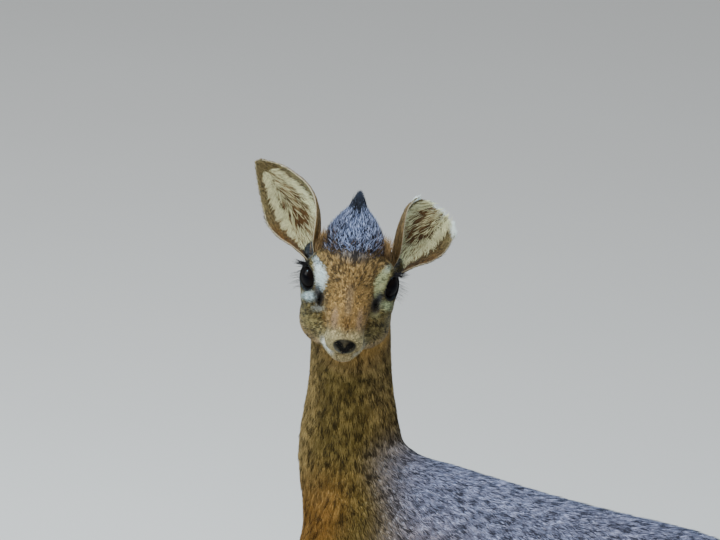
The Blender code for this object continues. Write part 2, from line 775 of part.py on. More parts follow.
def union_of(name, pieces, finish):
    """Closed pieces joined into one closed body by one Boolean on their collection."""
    group = bpy.data.collections.new(name + "_pieces")
    for piece in pieces[1:]:
        bpy.context.scene.collection.objects.unlink(piece)
        group.objects.link(piece)
    bpy.context.scene.collection.children.link(group)
    base = pieces[0]
    join = base.modifiers.new("join", "BOOLEAN")
    join.operation = "UNION"
    join.solver = "MANIFOLD"
    join.operand_type = "COLLECTION"
    join.collection = group
    bpy.context.view_layer.update()
    joined = evaluated_copy(base, name, finish)
    bpy.data.objects.remove(base)
    for piece in pieces[1:]:
        bpy.data.objects.remove(piece)
    bpy.data.collections.remove(group)
    return largest_surface(joined)


def ball(name, centre, radius, finish, segments=20, rings=11):
    """A round ball as a closed mesh object."""
    made = bmesh.new()
    bmesh.ops.create_uvsphere(made, u_segments=segments, v_segments=rings, radius=radius)
    bmesh.ops.translate(made, verts=made.verts, vec=centre)
    bmesh.ops.triangulate(made, faces=made.faces)
    mesh = bpy.data.meshes.new(name)
    made.to_mesh(mesh)
    made.free()
    mesh.materials.append(material(finish))
    thing = bpy.data.objects.new(name, mesh)
    bpy.context.scene.collection.objects.link(thing)
    return thing


HEAD_CELL = [
    (head_point(-0.026, 0, -0.043), -head_way(0.054, 0, 0.022)),
    (head_point(-0.026, 0, -0.049), head_way(-0.10, 0, -1.0)),
]
NECK_BASE = [((0.0, -0.080, 0.392), (0.0, 0.737, -0.675))]
TAIL_ROOT = [((0.0, 0.2125, 0.335), (0.0, -0.86, -0.36))]


def flipped(planes):
    """The same planes facing the other way."""
    return [(place, -Vector(out)) for place, out in planes]


def leg_planes(side, fore):
    """The cell that holds one leg below the trunk: under a slanting plane, on its own side."""
    steep = 1.15 if fore else 1.20
    bottom = 0.199 if fore else 0.218
    ends = (-0.30, -0.052) if fore else (0.062, 0.40)
    return [
        ((0.0, 0.0, bottom), (-side * steep, 0.0, 1.0)),
        ((side * 0.0012, 0.0, 0.0), (-side, 0.0, 0.0)),
        ((0.0, ends[0], 0.0), (0.0, -1.0, 0.0)),
        ((0.0, ends[1], 0.0), (0.0, 1.0, 0.0)),
    ]


def level_planes(high, low):
    """The slab between two heights."""
    planes = []
    if high is not None:
        planes.append(((0.0, 0.0, high), (0.0, 0.0, 1.0)))
    if low is not None:
        planes.append(((0.0, 0.0, low), (0.0, 0.0, -1.0)))
    return planes


def shrunk(planes):
    """The planes moved inwards by half a gap."""
    return cell(planes, -GAP / 2)


def part_body(body):
    """Cuts the whole body into the named nodes of flesh, and returns them by name."""
    nodes = {}
    head = copy_of(body, "head")
    nodes["head"] = boolean(head, "INTERSECT", shrunk(HEAD_CELL))
    neck = copy_of(body, "neck", "grizzled_back")
    boolean(neck, "INTERSECT", shrunk(NECK_BASE))
    nodes["neck"] = boolean(neck, "DIFFERENCE", cell(HEAD_CELL, GAP / 2))
    tail = copy_of(body, "tail", "grizzled_back")
    nodes["tail"] = boolean(tail, "INTERSECT", shrunk(TAIL_ROOT))
    torso = copy_of(body, "torso", "grizzled_back")
    boolean(torso, "INTERSECT", shrunk(flipped(NECK_BASE) + flipped(TAIL_ROOT)))
    for name in LEGS:
        side = 1 if name.endswith("left") else -1
        fore = name.startswith("fore")
        planes = leg_planes(side, fore)
        boolean(torso, "DIFFERENCE", cell(planes, GAP / 2))
        knee = 0.148 if fore else 0.160
        fetlock = 0.056
        cuts = {"upper": (None, knee), "lower": (knee, fetlock), "foot": (fetlock, HOOF_TOP)}
        for part, (high, low) in cuts.items():
            piece = copy_of(body, f"{name}_{part}")
            boolean(piece, "INTERSECT", shrunk(planes + level_planes(high, low)))
            nodes[piece.name] = piece
    nodes["torso"] = torso
    for piece in nodes.values():
        largest_surface(piece)
    return nodes


def hoof(name, middle, side):
    """One claw of a hoof: a pointed wedge with a flat sole. side is its side of the foot, 1 or -1."""
    length, width = 0.0225, 0.0074
    top = HOOF_TOP - GAP / 2
    outline = [  # share along from heel to toe, inner edge, outer edge
        (0.00, 0.10, 0.60),
        (0.18, 0.02, 0.88),
        (0.42, 0.00, 1.00),
        (0.70, 0.00, 0.86),
        (0.90, 0.05, 0.52),
        (1.00, 0.16, 0.24),
    ]
    levels = [(0.0, 1.0, 0.0), (0.35, 0.93, 0.02), (0.75, 0.81, 0.06), (1.0, 0.68, 0.10)]
    points = []
    for height, scale, back in levels:
        ring = [(share, outer) for share, _, outer in outline]
        ring += [(share, inner) for share, inner, _ in reversed(outline)]
        for share, out in ring:
            along = (share * scale + back) * length
            across = 0.0004 + out * width * (0.90 + 0.10 * scale)
            points.append(Vector((side * across, 0.0100 - along, height * top)))
    columns = 12
    faces = grid_faces(len(levels), columns)
    faces.append(tuple(reversed(range(columns))))
    faces.append(tuple(range((len(levels) - 1) * columns, len(levels) * columns)))
    for point in points:
        point += Vector((middle[0], middle[1], 0.0))
    return facing_out(mesh_object(name, points, faces, "hoof_horn"))


def dewclaw(name, rows, side, foot):
    """One small false hoof behind the fetlock, seated on the foot."""
    x, y, z = rows[-4][:3]
    centre = Vector((x + side * 0.0044, y + 0.0070, z - 0.0060))
    claw = ball(name, (0, 0, 0), 1.0, "hoof_horn", 8, 5)
    size = Matrix.Diagonal((0.0022, 0.0032, 0.0046, 1.0))
    lean = Matrix.Rotation(math.radians(-38.0), 4, "X")
    claw.data.transform(Matrix.Translation(centre) @ lean @ size)
    return seated(claw, foot)


NOSTRIL = [  # ahead, left, up and radius of the holes that make one comma-shaped nostril
    (0.0672, 0.0042, -0.0187, 0.0023),
    (0.0672, 0.0027, -0.0210, 0.0018),
    (0.0664, 0.0014, -0.0230, 0.0013),
]


def nose_pad(head):
    """The bare nose: a rounded pad on the muzzle's end with two nostrils."""
    pad = ball("nose", (0, 0, 0), 1.0, "nose_skin", 18, 10)
    turn = Matrix((FORWARD, LEFT, UP)).transposed().to_4x4()
    pad.data.transform(Matrix.Diagonal((0.0070, 0.0086, 0.0070, 1.0)))
    pad.data.transform(Matrix.Translation(head_point(0.0605, 0, -0.0205)) @ turn)
    for side in SIDES.values():
        for ahead, left, up, radius in NOSTRIL:
            hole = ball("nostril", head_point(ahead, side * left, up), radius, "nose_skin", 8, 5)
            boolean(pad, "DIFFERENCE", hole)
    return seated(pad, head)


def crest_radius(height):
    """The crest's radius at a height above the eyes."""
    heights, radii = zip(*CREST_OUTLINE)
    return float(np.interp(height, heights, radii))


def crest_point(height, radius, angle):
    """A place on a ring round the crest's middle line."""
    share = (height - CREST_ROOT[2]) / (CREST_TIP[2] - CREST_ROOT[2])
    middle = CREST_ROOT[0] + (CREST_TIP[0] - CREST_ROOT[0]) * share
    return head_point(middle + radius * math.cos(angle), radius * math.sin(angle), height)


def crest_core():
    """The solid middle of the crest, which ends half way up it."""
    columns = 12
    points = []
    for height, radius in CREST_CORE:
        points += [crest_point(height, radius, 2 * math.pi * c / columns) for c in range(columns)]
    last = (len(CREST_CORE) - 1) * columns
    faces = grid_faces(len(CREST_CORE), columns)
    faces.append(tuple(reversed(range(columns))))
    faces.append(tuple(range(last, last + columns)))
    return facing_out(mesh_object("crest_core", points, faces, "crest_hair"))


def crest_lock(low, high, angle, depth, width):
    """One lock on the crest's outline from height low to high. It leaves outwards and bends in."""
    root = crest_point(low, crest_radius(low) - depth, angle)
    reach = crest_point(high, crest_radius(high), angle) - root
    length = reach.length
    outwards = head_way(math.cos(angle), math.sin(angle), 0.0)
    side = reach.cross(outwards)
    lie = (reach.normalized() + outwards * 0.30).normalized()
    bend = reach / length - lie
    return lock(root - lie * 0.003, lie, side, length, width, LOCK_THICK, bend)


def crest(*bases):
    """The erect tuft on the crown: rings of overlapping locks round a core, seated on its bases."""
    random = np.random.default_rng(5)
    pieces = [crest_core()]
    for ring, (count, low, high, depth, width) in enumerate(CREST_RINGS):
        for n in range(count):
            angle = 2 * math.pi * (n + 0.5 * (ring % 2) + 0.15 * random.random()) / count
            tip = low + (high - low) * (0.90 + 0.12 * random.random())
            pieces.append(crest_lock(low, min(tip, CREST_TIP[2]), angle, depth, width))
    return seated(union_of("crest", pieces, "crest_hair"), *bases)


def move_to_origin():
    """Puts the middle of the model's footprint at the origin, on the floor."""
    corners = [
        thing.matrix_world @ vert.co for thing in bpy.data.objects for vert in thing.data.vertices
    ]
    middle = [(min(c[i] for c in corners) + max(c[i] for c in corners)) / 2 for i in (0, 1)]
    for thing in bpy.data.objects:
        thing.location = Vector((-middle[0], -middle[1], 0.0))
    return middle


def finish_surfaces():
    """Shades every node smooth, with sharp edges kept."""
    for thing in bpy.data.objects:
        thing.data.shade_smooth()
        thing.data.set_sharp_from_angle(angle=math.radians(50.0))


def main():
    """Builds every node of the animal."""
    clear_scene()
    body = whole_body()
    nodes = part_body(body)
    bpy.data.objects.remove(body)
    head = nodes["head"]
    for name, side in SIDES.items():
        centre = head_point(0.0, side * EYE_SPREAD, 0.0)
        boolean(head, "DIFFERENCE", ball("socket", centre, EYE_RADIUS + GAP, "eye_gloss"))
        ball(f"eye_{name}", centre, EYE_RADIUS, "eye_gloss")
    largest_surface(head)
    nose_pad(head)
    ears = [seated(ear_shell(f"ear_{name}", side), head) for name, side in SIDES.items()]
    crest(head, *ears)
    for name, rows in LEGS.items():
        middle = rows[-1]
        for side in (1, -1):
            place = "outer" if side * middle[0] > 0 else "inner"
            hoof(f"hoof_{name}_{place}", middle, side)
            dewclaw(f"dewclaw_{name}_{place}", rows, side, nodes[f"{name}_foot"])
    move_to_origin()
    finish_surfaces()


main()
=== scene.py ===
import logging
import math
from dataclasses import dataclass, field
from enum import Enum

import bpy
import numpy as np
from mathutils import Matrix, Vector


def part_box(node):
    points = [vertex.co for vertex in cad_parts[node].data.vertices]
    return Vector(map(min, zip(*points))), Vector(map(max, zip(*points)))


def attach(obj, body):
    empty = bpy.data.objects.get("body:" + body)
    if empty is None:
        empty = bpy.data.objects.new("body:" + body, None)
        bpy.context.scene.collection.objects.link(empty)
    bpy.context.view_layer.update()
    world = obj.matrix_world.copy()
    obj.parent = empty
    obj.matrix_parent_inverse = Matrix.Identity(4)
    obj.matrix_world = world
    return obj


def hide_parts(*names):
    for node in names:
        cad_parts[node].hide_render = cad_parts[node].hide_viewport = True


Array = np.ndarray
LOG = logging.getLogger("dik_dik")

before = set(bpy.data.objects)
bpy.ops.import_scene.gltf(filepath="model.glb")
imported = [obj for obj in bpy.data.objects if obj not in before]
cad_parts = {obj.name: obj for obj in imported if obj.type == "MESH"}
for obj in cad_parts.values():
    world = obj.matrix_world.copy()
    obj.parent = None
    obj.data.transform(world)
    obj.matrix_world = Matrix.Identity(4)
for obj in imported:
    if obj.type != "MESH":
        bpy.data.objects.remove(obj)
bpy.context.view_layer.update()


# Distances and frames

@dataclass(frozen=True)
class HeadFrame:
    """The turned head's own axes, whose origin is midway between the eyes.

    A place p is origin + forward * a + left * b + up * c, with (a, b, c) its place along the head's axes.
    """

    turn: float = math.radians(119.0)
    pitch: float = math.radians(11.0)
    roll: float = math.radians(3.5)
    origin: tuple[float, float, float] = (0.045, -0.114, 0.515)

    def axes(self) -> Array:
        """The forward, left and up unit vectors as three rows."""
        level = np.array([math.sin(self.turn), -math.cos(self.turn), 0.0])
        left = np.array([math.cos(self.turn), math.sin(self.turn), 0.0])
        rise = np.array([0.0, 0.0, 1.0])
        forward = level * math.cos(self.pitch) - rise * math.sin(self.pitch)
        up = rise * math.cos(self.pitch) + level * math.sin(self.pitch)
        tilted_up = up * math.cos(self.roll) + left * math.sin(self.roll)
        tilted_left = left * math.cos(self.roll) - up * math.sin(self.roll)
        return np.array([forward, tilted_left, tilted_up])

    def local(self, points: Array) -> Array:
        """Places along the head's axes of points in the body's frame."""
        return (points - np.array(self.origin)) @ self.axes().T

    def world(self, local: Array) -> Array:
        """Points in the body's frame of places along the head's axes."""
        return np.asarray(local) @ self.axes() + np.array(self.origin)

    def way(self, local: Array) -> Array:
        """Directions in the body's frame of directions along the head's axes."""
        return np.asarray(local) @ self.axes()


HEAD = HeadFrame()
FACE_SLOPE = 0.49


def face_place(local: Array) -> tuple[Array, Array, Array]:
    """Distance ahead, aside and up the face's slope, v = c - 0.49 a, in centimetres."""
    a, b, c = (local * 100.0).T
    return a, np.abs(b), c - FACE_SLOPE * a


def side_name(side: int) -> str:
    """left for 1 and right for -1."""
    return "left" if side > 0 else "right"


def unit(vectors: Array) -> Array:
    """Each row divided by its length."""
    return vectors / (np.linalg.norm(vectors, axis=-1, keepdims=True) + 1e-12)


def ramp(values: Array, low: float, high: float) -> Array:
    """A smooth step: 0 below low, 1 above high, and t t (3 - 2 t) between, at share t of the way."""
    t = np.clip((values - low) / (high - low), 0.0, 1.0)
    return t * t * (3.0 - 2.0 * t)


def smooth_union(one: Array, two: Array, blend: float) -> Array:
    """The nearer of two distances, rounded over where they are within blend of each other.

    With h = clip(0.5 + 0.5 (two - one) / blend, 0, 1) it is two (1 - h) + one h - blend h (1 - h).
    """
    share = np.clip(0.5 + 0.5 * (two - one) / blend, 0.0, 1.0)
    return two * (1.0 - share) + one * share - blend * share * (1.0 - share)


def smooth_cut(body: Array, hole: Array, blend: float) -> Array:
    """body with hole taken out of it and a rounded edge, which is -smooth_union(-body, hole)."""
    return -smooth_union(-body, hole, blend)


def ellipsoid(points: Array, centre: tuple, radii: tuple) -> Array:
    """Distance to an ellipsoid close to its surface.

    With q = offset / radii the distance is |q| (|q| - 1) / |q / radii|.
    """
    scaled = (points - np.array(centre, np.float32)) / np.array(radii, np.float32)
    near = np.linalg.norm(scaled, axis=1) + 1e-6
    slope = np.linalg.norm(scaled / np.array(radii, np.float32), axis=1) + 1e-6
    return near * (near - 1.0) / slope


def smooth_stations(rows: list, count: int) -> Array:
    """count rows along a smooth curve through rows.

    Between rows b and c, with neighbours a and d and share t, a value is
    0.5 (2b + (c - a) t + (2a - 5b + 4c - d) t^2 + (3b - a - 3c + d) t^3).

    Args:
        rows: the rows to pass through, each a list of numbers.
        count: how many rows to return.

    Returns:
        An array of count rows.
    """
    known = np.array(rows, float)
    padded = np.vstack([2 * known[0] - known[1], known, 2 * known[-1] - known[-2]])
    places = np.linspace(0, len(known) - 1 - 1e-9, count)
    index = places.astype(int)
    t = (places - index)[:, None]
    a, b, c, d = (padded[index + i] for i in range(4))
    return 0.5 * (2 * b + (c - a) * t + (2 * a - 5 * b + 4 * c - d) * t**2 + (3 * b - a - 3 * c + d) * t**3)


def tube(points: Array, rows: list, side: tuple, count: int) -> Array:
    """Distance to a limb of oval section, the least over its short straight pieces.

    In a piece, with offsets (u, v, w) from its nearest middle point across, deep and along it, and half
    sizes (A, B, C), n = |(u/A, v/B, w/C)| and the distance is n (n - 1) / |(u/A^2, v/B^2, w/C^2)|.

    Args:
        points: where to measure, one row each.
        rows: stations of x, y, z, half width along side, and half depth.
        side: the direction of the width.
        count: how many stations to smooth the rows to.

    Returns:
        One distance for each point, and 1.0 for points far outside.
    """
    stations = smooth_stations(rows, count).astype(np.float32)
    width_way = np.array(side, np.float32)
    reach = stations[:, 3:].max()
    low = stations[:, :3].min(0) - reach - 0.03
    high = stations[:, :3].max(0) + reach + 0.03
    near = np.flatnonzero(((points > low) & (points < high)).all(axis=1))
    found = np.full(len(points), 1.0, np.float32)
    here = points[near]
    best = np.full(len(near), 1.0, np.float32)
    for start, end in zip(stations[:-1], stations[1:]):
        along = end[:3] - start[:3]
        length = float(along @ along)
        share = np.clip(((here - start[:3]) @ along) / length, 0.0, 1.0)
        offset = here - start[:3] - share[:, None] * along
        tangent = along / math.sqrt(length)
        across = width_way - (width_way @ tangent) * tangent
        across /= np.linalg.norm(across)
        depth = np.cross(tangent, across)
        wide = start[3] + share * (end[3] - start[3])
        deep = start[4] + share * (end[4] - start[4])
        cap = 0.5 * np.minimum(wide, deep) + 0.004
        parts = ((offset @ across, wide), (offset @ depth, deep), (offset @ tangent, cap))
        near_sum = sum((value / size) ** 2 for value, size in parts)
        slope_sum = sum((value / size**2) ** 2 for value, size in parts)
        size = np.sqrt(near_sum) + 1e-6
        best = np.minimum(best, (size - 1.0) * size / (np.sqrt(slope_sum) + 1e-6))
    found[near] = best
    return found


# The flesh

TRUNK = [
    (-0.131, 0.343, 0.270, 0.022),
    (-0.125, 0.366, 0.236, 0.038),
    (-0.102, 0.380, 0.213, 0.046),
    (-0.065, 0.3820, 0.206, 0.053),
    (-0.020, 0.3786, 0.210, 0.058),
    (0.030, 0.3748, 0.220, 0.061),
    (0.080, 0.3733, 0.235, 0.057),
    (0.125, 0.3728, 0.252, 0.054),
    (0.160, 0.3706, 0.266, 0.050),
    (0.190, 0.3595, 0.282, 0.041),
    (0.210, 0.3430, 0.297, 0.028),
]
NECK = [
    (0.000, -0.100, 0.300, 0.038, 0.049),
    (0.000, -0.1160, 0.335, 0.035, 0.044),
    (0.0005, -0.1280, 0.370, 0.031, 0.0402),
    (0.0005, -0.1292, 0.400, 0.0287, 0.0375),
    (0.0028, -0.1300, 0.430, 0.0272, 0.0325),
    (0.0058, -0.1303, 0.460, 0.0266, 0.0309),
    (0.0112, -0.1280, 0.490, 0.0261, 0.0292),
    (0.019, -0.1260, 0.512, 0.0230, 0.0250),
]
TAIL = [
    (0.0, 0.196, 0.346, 0.0130, 0.0120),
    (0.0, 0.214, 0.336, 0.0110, 0.0090),
    (0.0, 0.226, 0.318, 0.0095, 0.0070),
    (0.0, 0.232, 0.300, 0.0070, 0.0052),
    (0.0, 0.235, 0.286, 0.0035, 0.0030),
]
FORE_LEG = [
    (-0.006, -0.100, 0.335, 0.016, 0.028),
    (-0.001, -0.112, 0.288, 0.021, 0.032),
    (0.001, -0.110, 0.246, 0.0185, 0.0290),
    (0.001, -0.105, 0.208, 0.0130, 0.0185),
    (0.0005, -0.1065, 0.172, 0.0093, 0.0115),
    (0.0, -0.1085, 0.145, 0.0088, 0.0098),
    (0.0, -0.1080, 0.126, 0.0066, 0.0078),
    (0.0, -0.1075, 0.092, 0.0056, 0.0066),
    (0.0, -0.1075, 0.063, 0.0060, 0.0070),
    (0.0, -0.1080, 0.048, 0.0076, 0.0088),
    (0.0, -0.1135, 0.033, 0.0068, 0.0074),
    (0.0, -0.1185, 0.018, 0.0078, 0.0086),
    (0.0, -0.1200, 0.008, 0.0078, 0.0086),
]
HIND_LEG = [
    (-0.006, 0.155, 0.335, 0.022, 0.040),
    (0.002, 0.145, 0.300, 0.025, 0.048),
    (0.005, 0.130, 0.266, 0.0215, 0.043),
    (0.005, 0.133, 0.234, 0.0165, 0.0300),
    (0.003, 0.156, 0.206, 0.0120, 0.0180),
    (0.001, 0.180, 0.184, 0.0086, 0.0115),
    (0.0, 0.193, 0.168, 0.0086, 0.0118),
    (0.0, 0.192, 0.149, 0.0068, 0.0092),
    (0.0, 0.185, 0.106, 0.0058, 0.0070),
    (0.0, 0.179, 0.069, 0.0060, 0.0072),
    (0.0, 0.176, 0.050, 0.0076, 0.0088),
    (0.0, 0.169, 0.034, 0.0068, 0.0074),
    (0.0, 0.163, 0.018, 0.0078, 0.0086),
    (0.0, 0.1615, 0.008, 0.0078, 0.0086),
]
MUZZLE = [
    (0.004, 0.0, 0.001, 0.0205, 0.0200),
    (0.020, 0.0, -0.006, 0.0180, 0.0175),
    (0.036, 0.0, -0.0125, 0.0148, 0.0150),
    (0.048, 0.0, -0.0180, 0.0125, 0.0135),
    (0.0545, 0.0, -0.0210, 0.0105, 0.0115),
]
JAW = [
    (-0.022, 0.0, -0.0280, 0.0240, 0.0150),
    (0.002, 0.0, -0.0310, 0.0228, 0.0130),
    (0.022, 0.0, -0.0335, 0.0188, 0.0098),
    (0.038, 0.0, -0.0352, 0.0140, 0.0070),
    (0.047, 0.0, -0.0355, 0.0090, 0.0055),
]
NOSTRIL = [
    (0.0672, 0.0042, -0.0187, 0.0023),
    (0.0672, 0.0027, -0.0210, 0.0018),
    (0.0664, 0.0014, -0.0230, 0.0013),
]
EAR_STANDS = [
    (1, (-0.0260, 0.0303, 0.0005), (-0.313, 0.647, 0.695)),
    (-1, (-0.0250, -0.0264, 0.0043), (-0.305, -0.617, 0.725)),
]
EAR_EDGES = [
    (0.0070, 0.0040),
    (0.0068, 0.0058),
    (0.0181, 0.0092),
    (0.0264, 0.0141),
    (0.0305, 0.0171),
    (0.0286, 0.0157),
    (0.0229, 0.0122),
    (0.0163, 0.0076),
    (0.0046, 0.0014),
]
EAR_FLARE = {1: 0.26, -1: 0.0}
EAR_TORN = [
    (-1.0, 0.655),
    (-0.8, 0.678),
    (-0.6, 0.695),
    (-0.2, 0.705),
    (0.2, 0.705),
    (0.5, 0.688),
    (0.75, 0.650),
    (1.0, 0.605),
]
CREST_OUTLINE = [
    (0.0180, 0.0220),
    (0.0260, 0.0216),
    (0.0330, 0.0190),
    (0.0400, 0.0132),
    (0.0460, 0.0080),
    (0.0500, 0.0040),
    (0.0535, 0.0016),
    (0.0590, 0.0005),
]


@dataclass(frozen=True)
class Bulge:
    """An ellipsoid on the left of the head, with its mirror on the right: middle, radii and blend."""

    middle: tuple[float, float, float]
    radii: tuple[float, float, float]
    blend: float
    on_jaw: bool = False


CHEEK = Bulge((-0.007, 0.0175, -0.020), (0.0235, 0.0120, 0.0180), 0.015, on_jaw=True)
CHEEKBONE = Bulge((0.004, 0.0230, -0.0130), (0.0150, 0.0095, 0.0095), 0.010)
LIP = Bulge((0.046, 0.0072, -0.0245), (0.0125, 0.0065, 0.0065), 0.006)
BROW = Bulge((-0.002, 0.0195, 0.0045), (0.0165, 0.0105, 0.0130), 0.009)
THROAT = Bulge((-0.006, 0.0130, -0.037), (0.0240, 0.0170, 0.0125), 0.014, on_jaw=True)
BULGES = (CHEEK, CHEEKBONE, LIP, BROW, THROAT)


class Limb(Enum):
    """The four legs: stations, distance from the middle, side, and how far the foot is stepped along."""

    FORE_LEFT = ("foreleg_left", "fore", 0.035, 1, -0.010)
    FORE_RIGHT = ("foreleg_right", "fore", 0.035, -1, 0.010)
    HIND_LEFT = ("hindleg_left", "hind", 0.037, 1, 0.012)
    HIND_RIGHT = ("hindleg_right", "hind", 0.037, -1, -0.012)

    @property
    def label(self) -> str:
        """The leg's name."""
        return self.value[0]

    @property
    def is_fore(self) -> bool:
        """Whether it is a front leg."""
        return self.value[1] == "fore"

    def rows(self) -> list:
        """The leg's stations, moved along by its step towards the foot."""
        _, _, base_x, side, step = self.value
        rows = FORE_LEG if self.is_fore else HIND_LEG
        top = rows[0][2]
        return [
            (side * (base_x + out), y + step * (top - z) / top, z, wide, deep)
            for out, y, z, wide, deep in rows
        ]


@dataclass
class Flesh:
    """The animal under its coat, as a field that is negative inside.

    The solids' outer face is the tip of the coat, so the skin lies inside it by coat_depth.
    """

    eye_radius: float = 0.0120
    eye_spread: float = 0.0228
    eye_outward: float = math.radians(53.0)
    eye_upward: float = 0.15
    eye_opening_size: tuple = (0.0096, 0.0081)
    lid_thick: float = 0.0016
    jaw_aside: float = 0.0008
    hoof_top: float = 0.0150
    body_depth: float = 0.0022
    leg_depth: float = 0.0009
    foot_relief: float = 0.0006
    head_depth: float = 0.0005

    def eye_frame(self, side: int) -> tuple[Array, Array, Array]:
        """The eye's outward axis, its long axis along the lids and its short one, along the head's axes."""
        out = np.array((math.cos(self.eye_outward), side * math.sin(self.eye_outward), self.eye_upward))
        out /= np.linalg.norm(out)
        long = np.array((math.sin(self.eye_outward), -side * math.cos(self.eye_outward), -0.38))
        long -= out * (long @ out)
        long /= np.linalg.norm(long)
        short = np.cross(out, long)
        return out, long, short * (1.0 if short[2] > 0 else -1.0)

    def eye_centre(self, side: int) -> Array:
        """The middle of an eyeball along the head's axes."""
        return np.array((0.0, side * self.eye_spread, 0.0))

    def eye_opening(self, local: Array, side: int) -> Array:
        """Distance to the cone between the lids.

        At depth d outwards it is an oval whose half axes are the opening's size times d / R, for an eye of
        radius R.
        """
        wide_half, high_half = self.eye_opening_size
        out, long, short = (v.astype(np.float32) for v in self.eye_frame(side))
        offset = local - self.eye_centre(side).astype(np.float32)
        depth = offset @ out
        reach = np.maximum(depth, 0.001) / self.eye_radius
        wide = (offset @ long) / (wide_half * reach)
        high = (offset @ short) / (high_half * reach)
        inside = (np.sqrt(wide**2 + high**2) - 1.0) * high_half * np.minimum(reach, 1.3)
        return np.maximum(inside, 0.0035 - depth)

    def head(self, local: Array) -> Array:
        """Distance to the head at places along the head's axes.

        Skull, muzzle, jaw, cheeks, lips, brows and lids are blended, and the eyes' openings, glands,
        nostrils and mouth line are cut in.
        """
        skull = ellipsoid(local, (-0.0185, 0, 0.0025), (0.0285, 0.0245, 0.0235))
        forehead = ellipsoid(local, (-0.003, 0, 0.0065), (0.0220, 0.0205, 0.0160))
        whole = smooth_union(skull, forehead, 0.010)
        whole = smooth_union(whole, tube(local, MUZZLE, (0, 1, 0), 12), 0.016)
        whole = smooth_union(whole, tube(local, JAW, (0, 1, 0), 12), 0.011)
        for side in (1, -1):
            for bulge in BULGES:
                left = side * bulge.middle[1] + self.jaw_aside * bulge.on_jaw
                middle = (bulge.middle[0], left, bulge.middle[2])
                whole = smooth_union(whole, ellipsoid(local, middle, bulge.radii), bulge.blend)
        whole = smooth_union(whole, ellipsoid(local, (0.0540, 0, -0.0190), (0.0095, 0.0100, 0.0085)), 0.007)
        for side in (1, -1):
            ball = np.linalg.norm(local - self.eye_centre(side).astype(np.float32), axis=1)
            whole = smooth_union(whole, ball - self.eye_radius - self.lid_thick, 0.006)
            whole = smooth_cut(whole, self.eye_opening(local, side), 0.0012)
            gland = ellipsoid(local, (0.0205, side * 0.0195, -0.0085), (0.0034, 0.0022, 0.0040))
            whole = smooth_cut(whole, gland, 0.004)
        line = -0.0292 - 0.10 * (local[:, 0] - 0.047)
        ends = np.clip((local[:, 0] - 0.033) / 0.005, 0.0, 1.0)
        whole = whole + 0.0021 * ends * np.exp(-(((local[:, 2] - line) / 0.0013) ** 2))
        pad = ellipsoid(local, (0.0590, 0, -0.0205), (0.0078, 0.0084, 0.0068))
        whole = smooth_union(whole + self.head_depth, pad, 0.0025)
        for side in (1, -1):
            for ahead, left, up, radius in NOSTRIL:
                away = local - np.array((ahead, side * left, up), np.float32)
                whole = smooth_cut(whole, np.linalg.norm(away, axis=1) - radius, 0.0010)
        groove = np.abs(local[:, 1]) / 0.0007
        below = ramp(local[:, 0], 0.056, 0.060) * ramp(-local[:, 2], 0.0195, 0.0215)
        whole = whole + 0.0007 * below * np.exp(-(groove**2))
        for side, root, lean in EAR_STANDS:
            base = np.array(root) + np.array((-0.0035, -side * 0.0015, 0.0))
            way = np.array(lean)
            rows = [
                (*(base - way * 0.010), 0.0105, 0.0105),
                (*base, 0.0085, 0.0085),
                (*(base + way * 0.001), 0.0068, 0.0068),
            ]
            whole = smooth_union(whole, tube(local, rows, (0, side, 0), 6), 0.008)
        peak = [(-0.011, 0.0, 0.018, 0.0160, 0.0170), (-0.0140, 0.0, 0.0260, 0.0105, 0.0115)]
        return smooth_union(whole, tube(local, peak, (0, 1, 0), 6), 0.008)

    def parts(self, points: Array) -> dict[str, Array]:
        """Distance to the trunk, neck, tail and each leg, by name."""
        trunk = [(0.0, y, (top + low) / 2, half, (top - low) / 2) for y, top, low, half in TRUNK]
        found = {"trunk": tube(points, trunk, (1, 0, 0), 26), "neck": tube(points, NECK, (1, 0, 0), 18)}
        for limb in Limb:
            found[limb.label] = tube(points, limb.rows(), (1, 0, 0), 34)
        found["tail"] = tube(points, TAIL, (1, 0, 0), 10)
        return found

    def coat_depth(self, points: Array) -> Array:
        """How far the skin lies inside the solids, which is less down the legs and least on the feet."""
        legs = 1.0 - ramp(points[:, 2], 0.14, 0.26)
        feet = 1.0 - ramp(points[:, 2], 0.055, 0.075)
        return self.body_depth + (self.leg_depth - self.body_depth) * legs - self.foot_relief * feet

    def skin(self, points: Array) -> Array:
        """Distance to the skin.

        The parts are blended, with a seat for each false hoof behind the fetlock, set back by the coat's
        depth and cut level above the hooves.
        """
        parts = self.parts(points)
        body = smooth_union(parts["trunk"], parts["neck"], 0.028)
        for limb in Limb:
            blend = 0.012 if limb.is_fore else 0.016
            body = smooth_union(body, parts[limb.label], blend)
            x, y, z = limb.rows()[-4][:3]
            for side in (1, -1):
                middle = (x + side * 0.0040, y + 0.0035, z - 0.0052)
                body = smooth_union(body, ellipsoid(points, middle, (0.0026, 0.0038, 0.0048)), 0.003)
        body = smooth_union(body, parts["tail"], 0.008) + self.coat_depth(points).astype(np.float32)
        local = HEAD.local(points).astype(np.float32)
        near = np.flatnonzero(np.linalg.norm(local - (0.005, 0, -0.005), axis=1) < 0.10)
        body[near] = smooth_union(body[near], self.head(local[near]), 0.009)
        return np.maximum(body, self.hoof_top - points[:, 2])


# Meshes

CORNERS = np.array([(i, j, k) for i in (0, 1) for j in (0, 1) for k in (0, 1)])
EDGES = [(0, 4), (1, 5), (2, 6), (3, 7), (0, 2), (1, 3), (4, 6), (5, 7), (0, 1), (2, 3), (4, 5), (6, 7)]


